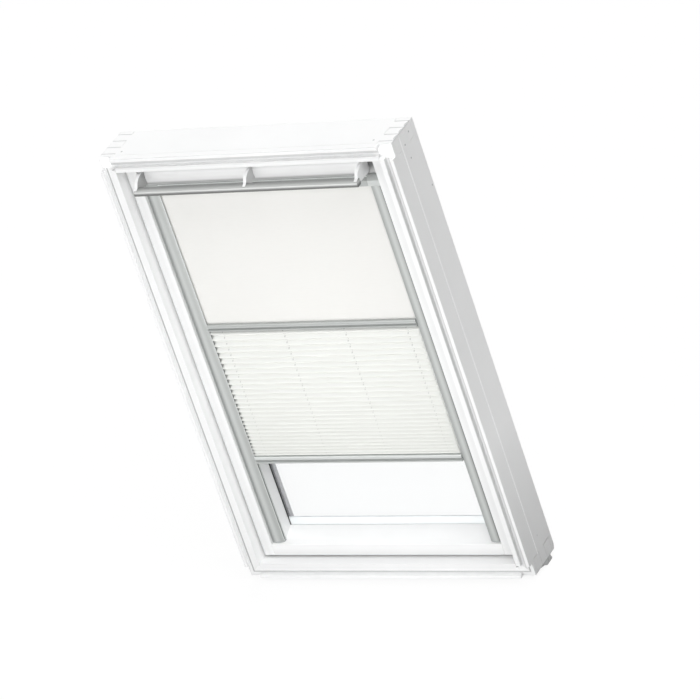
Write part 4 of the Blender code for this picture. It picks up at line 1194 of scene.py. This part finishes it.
def build_floor():
    """A pale floor that reads white to the camera and keeps a soft shadow."""
    mesh = bpy.data.meshes.new("studio_floor")
    shape = bmesh.new()
    bmesh.ops.create_grid(shape, x_segments=4, y_segments=4, size=FLOOR_REACH)
    shape.to_mesh(mesh)
    shape.free()
    floor = bpy.data.objects.new("studio_floor", mesh)
    bpy.context.scene.collection.objects.link(floor)
    finish = Finish("floor_paint", FLOOR_COLOUR, 0.9)
    finish.put("Specular IOR Level", 0.0)
    glow = finish.node("ShaderNodeEmission")
    glow.inputs["Color"].default_value = (1, 1, 1, 1)
    glow.inputs["Strength"].default_value = FLOOR_GLOW
    rays = finish.node("ShaderNodeLightPath")
    seen = finish.math("MAXIMUM", rays.outputs["Is Camera Ray"], rays.outputs["Is Glossy Ray"])
    seen = finish.math("MAXIMUM", seen, rays.outputs["Is Transmission Ray"])
    mix = finish.node("ShaderNodeMixShader")
    finish.link(finish.math("MULTIPLY", seen, FLOOR_LIFT), mix.inputs["Fac"])
    finish.link(finish.shader.outputs["BSDF"], mix.inputs[1])
    finish.link(glow.outputs["Emission"], mix.inputs[2])
    finish.link(mix.outputs["Shader"], finish.tree.nodes["Material Output"].inputs["Surface"])
    mesh.materials.append(finish.material)


def build_world():
    world = bpy.data.worlds.new("studio")
    bpy.context.scene.world = world
    world.use_nodes = True
    tree = world.node_tree
    rays = tree.nodes.new("ShaderNodeLightPath")
    first = tree.nodes.new("ShaderNodeMath")
    second = tree.nodes.new("ShaderNodeMath")
    level = tree.nodes.new("ShaderNodeMapRange")
    for step in (first, second):
        step.operation = "MAXIMUM"
    tree.links.new(rays.outputs["Is Camera Ray"], first.inputs[0])
    tree.links.new(rays.outputs["Is Glossy Ray"], first.inputs[1])
    tree.links.new(first.outputs["Value"], second.inputs[0])
    tree.links.new(rays.outputs["Is Transmission Ray"], second.inputs[1])
    tree.links.new(second.outputs["Value"], level.inputs["Value"])
    level.inputs["To Min"].default_value = SKY_LEVEL
    level.inputs["To Max"].default_value = 1.0
    background = tree.nodes["Background"]
    background.inputs["Color"].default_value = (1, 1, 1, 1)
    tree.links.new(level.outputs["Result"], background.inputs["Strength"])


def aim(obj, place, target):
    obj.location = place
    away = Vector(place) - Vector(target)
    obj.rotation_euler = away.to_track_quat("Z", "Y").to_euler()


def build_lights():
    for name, facts in SOFT_SUNS.items():
        data = bpy.data.lights.new(name, "SUN")
        data.energy = math.pi * facts["level"]
        data.angle = math.radians(SUN_SPREAD)
        lamp = bpy.data.objects.new(name, data)
        bpy.context.scene.collection.objects.link(lamp)
        aim(lamp, facts["from"], (0, 0, 0))
    data = bpy.data.lights.new("strip", "AREA")
    data.shape = "RECTANGLE"
    data.energy = STRIP_POWER
    data.size, data.size_y = STRIP_SIZE
    strip = bpy.data.objects.new("strip", data)
    strip.visible_camera = False
    bpy.context.scene.collection.objects.link(strip)
    aim(strip, STRIP_PLACE, STRIP_AIM)


def build_camera():
    data = bpy.data.cameras.new("photo_camera")
    data.lens = CAMERA_LENS
    data.sensor_width = CAMERA_SENSOR
    data.shift_x = CAMERA_SHIFT_X
    data.shift_y = CAMERA_SHIFT_Y
    data.clip_end = 200.0
    camera = bpy.data.objects.new("photo_camera", data)
    bpy.context.scene.collection.objects.link(camera)
    turn = math.radians(CAMERA_AZIMUTH)
    dip = math.radians(CAMERA_ELEVATION)
    roll = math.radians(CAMERA_ROLL)
    forward = Vector((-math.sin(turn) * math.cos(dip), math.cos(turn) * math.cos(dip),
                      -math.sin(dip)))
    level = Vector((math.cos(turn), math.sin(turn), 0.0))
    above = level.cross(forward)
    right = level * math.cos(roll) + above * math.sin(roll)
    up = above * math.cos(roll) - level * math.sin(roll)
    basis = Matrix((right, up, -forward)).transposed()
    camera.matrix_world = Matrix.Translation(CAMERA_PLACE) @ basis.to_4x4()
    bpy.context.scene.camera = camera


build_floor()
build_world()
build_lights()
build_camera()
bpy.context.scene.view_settings.view_transform = "Standard"
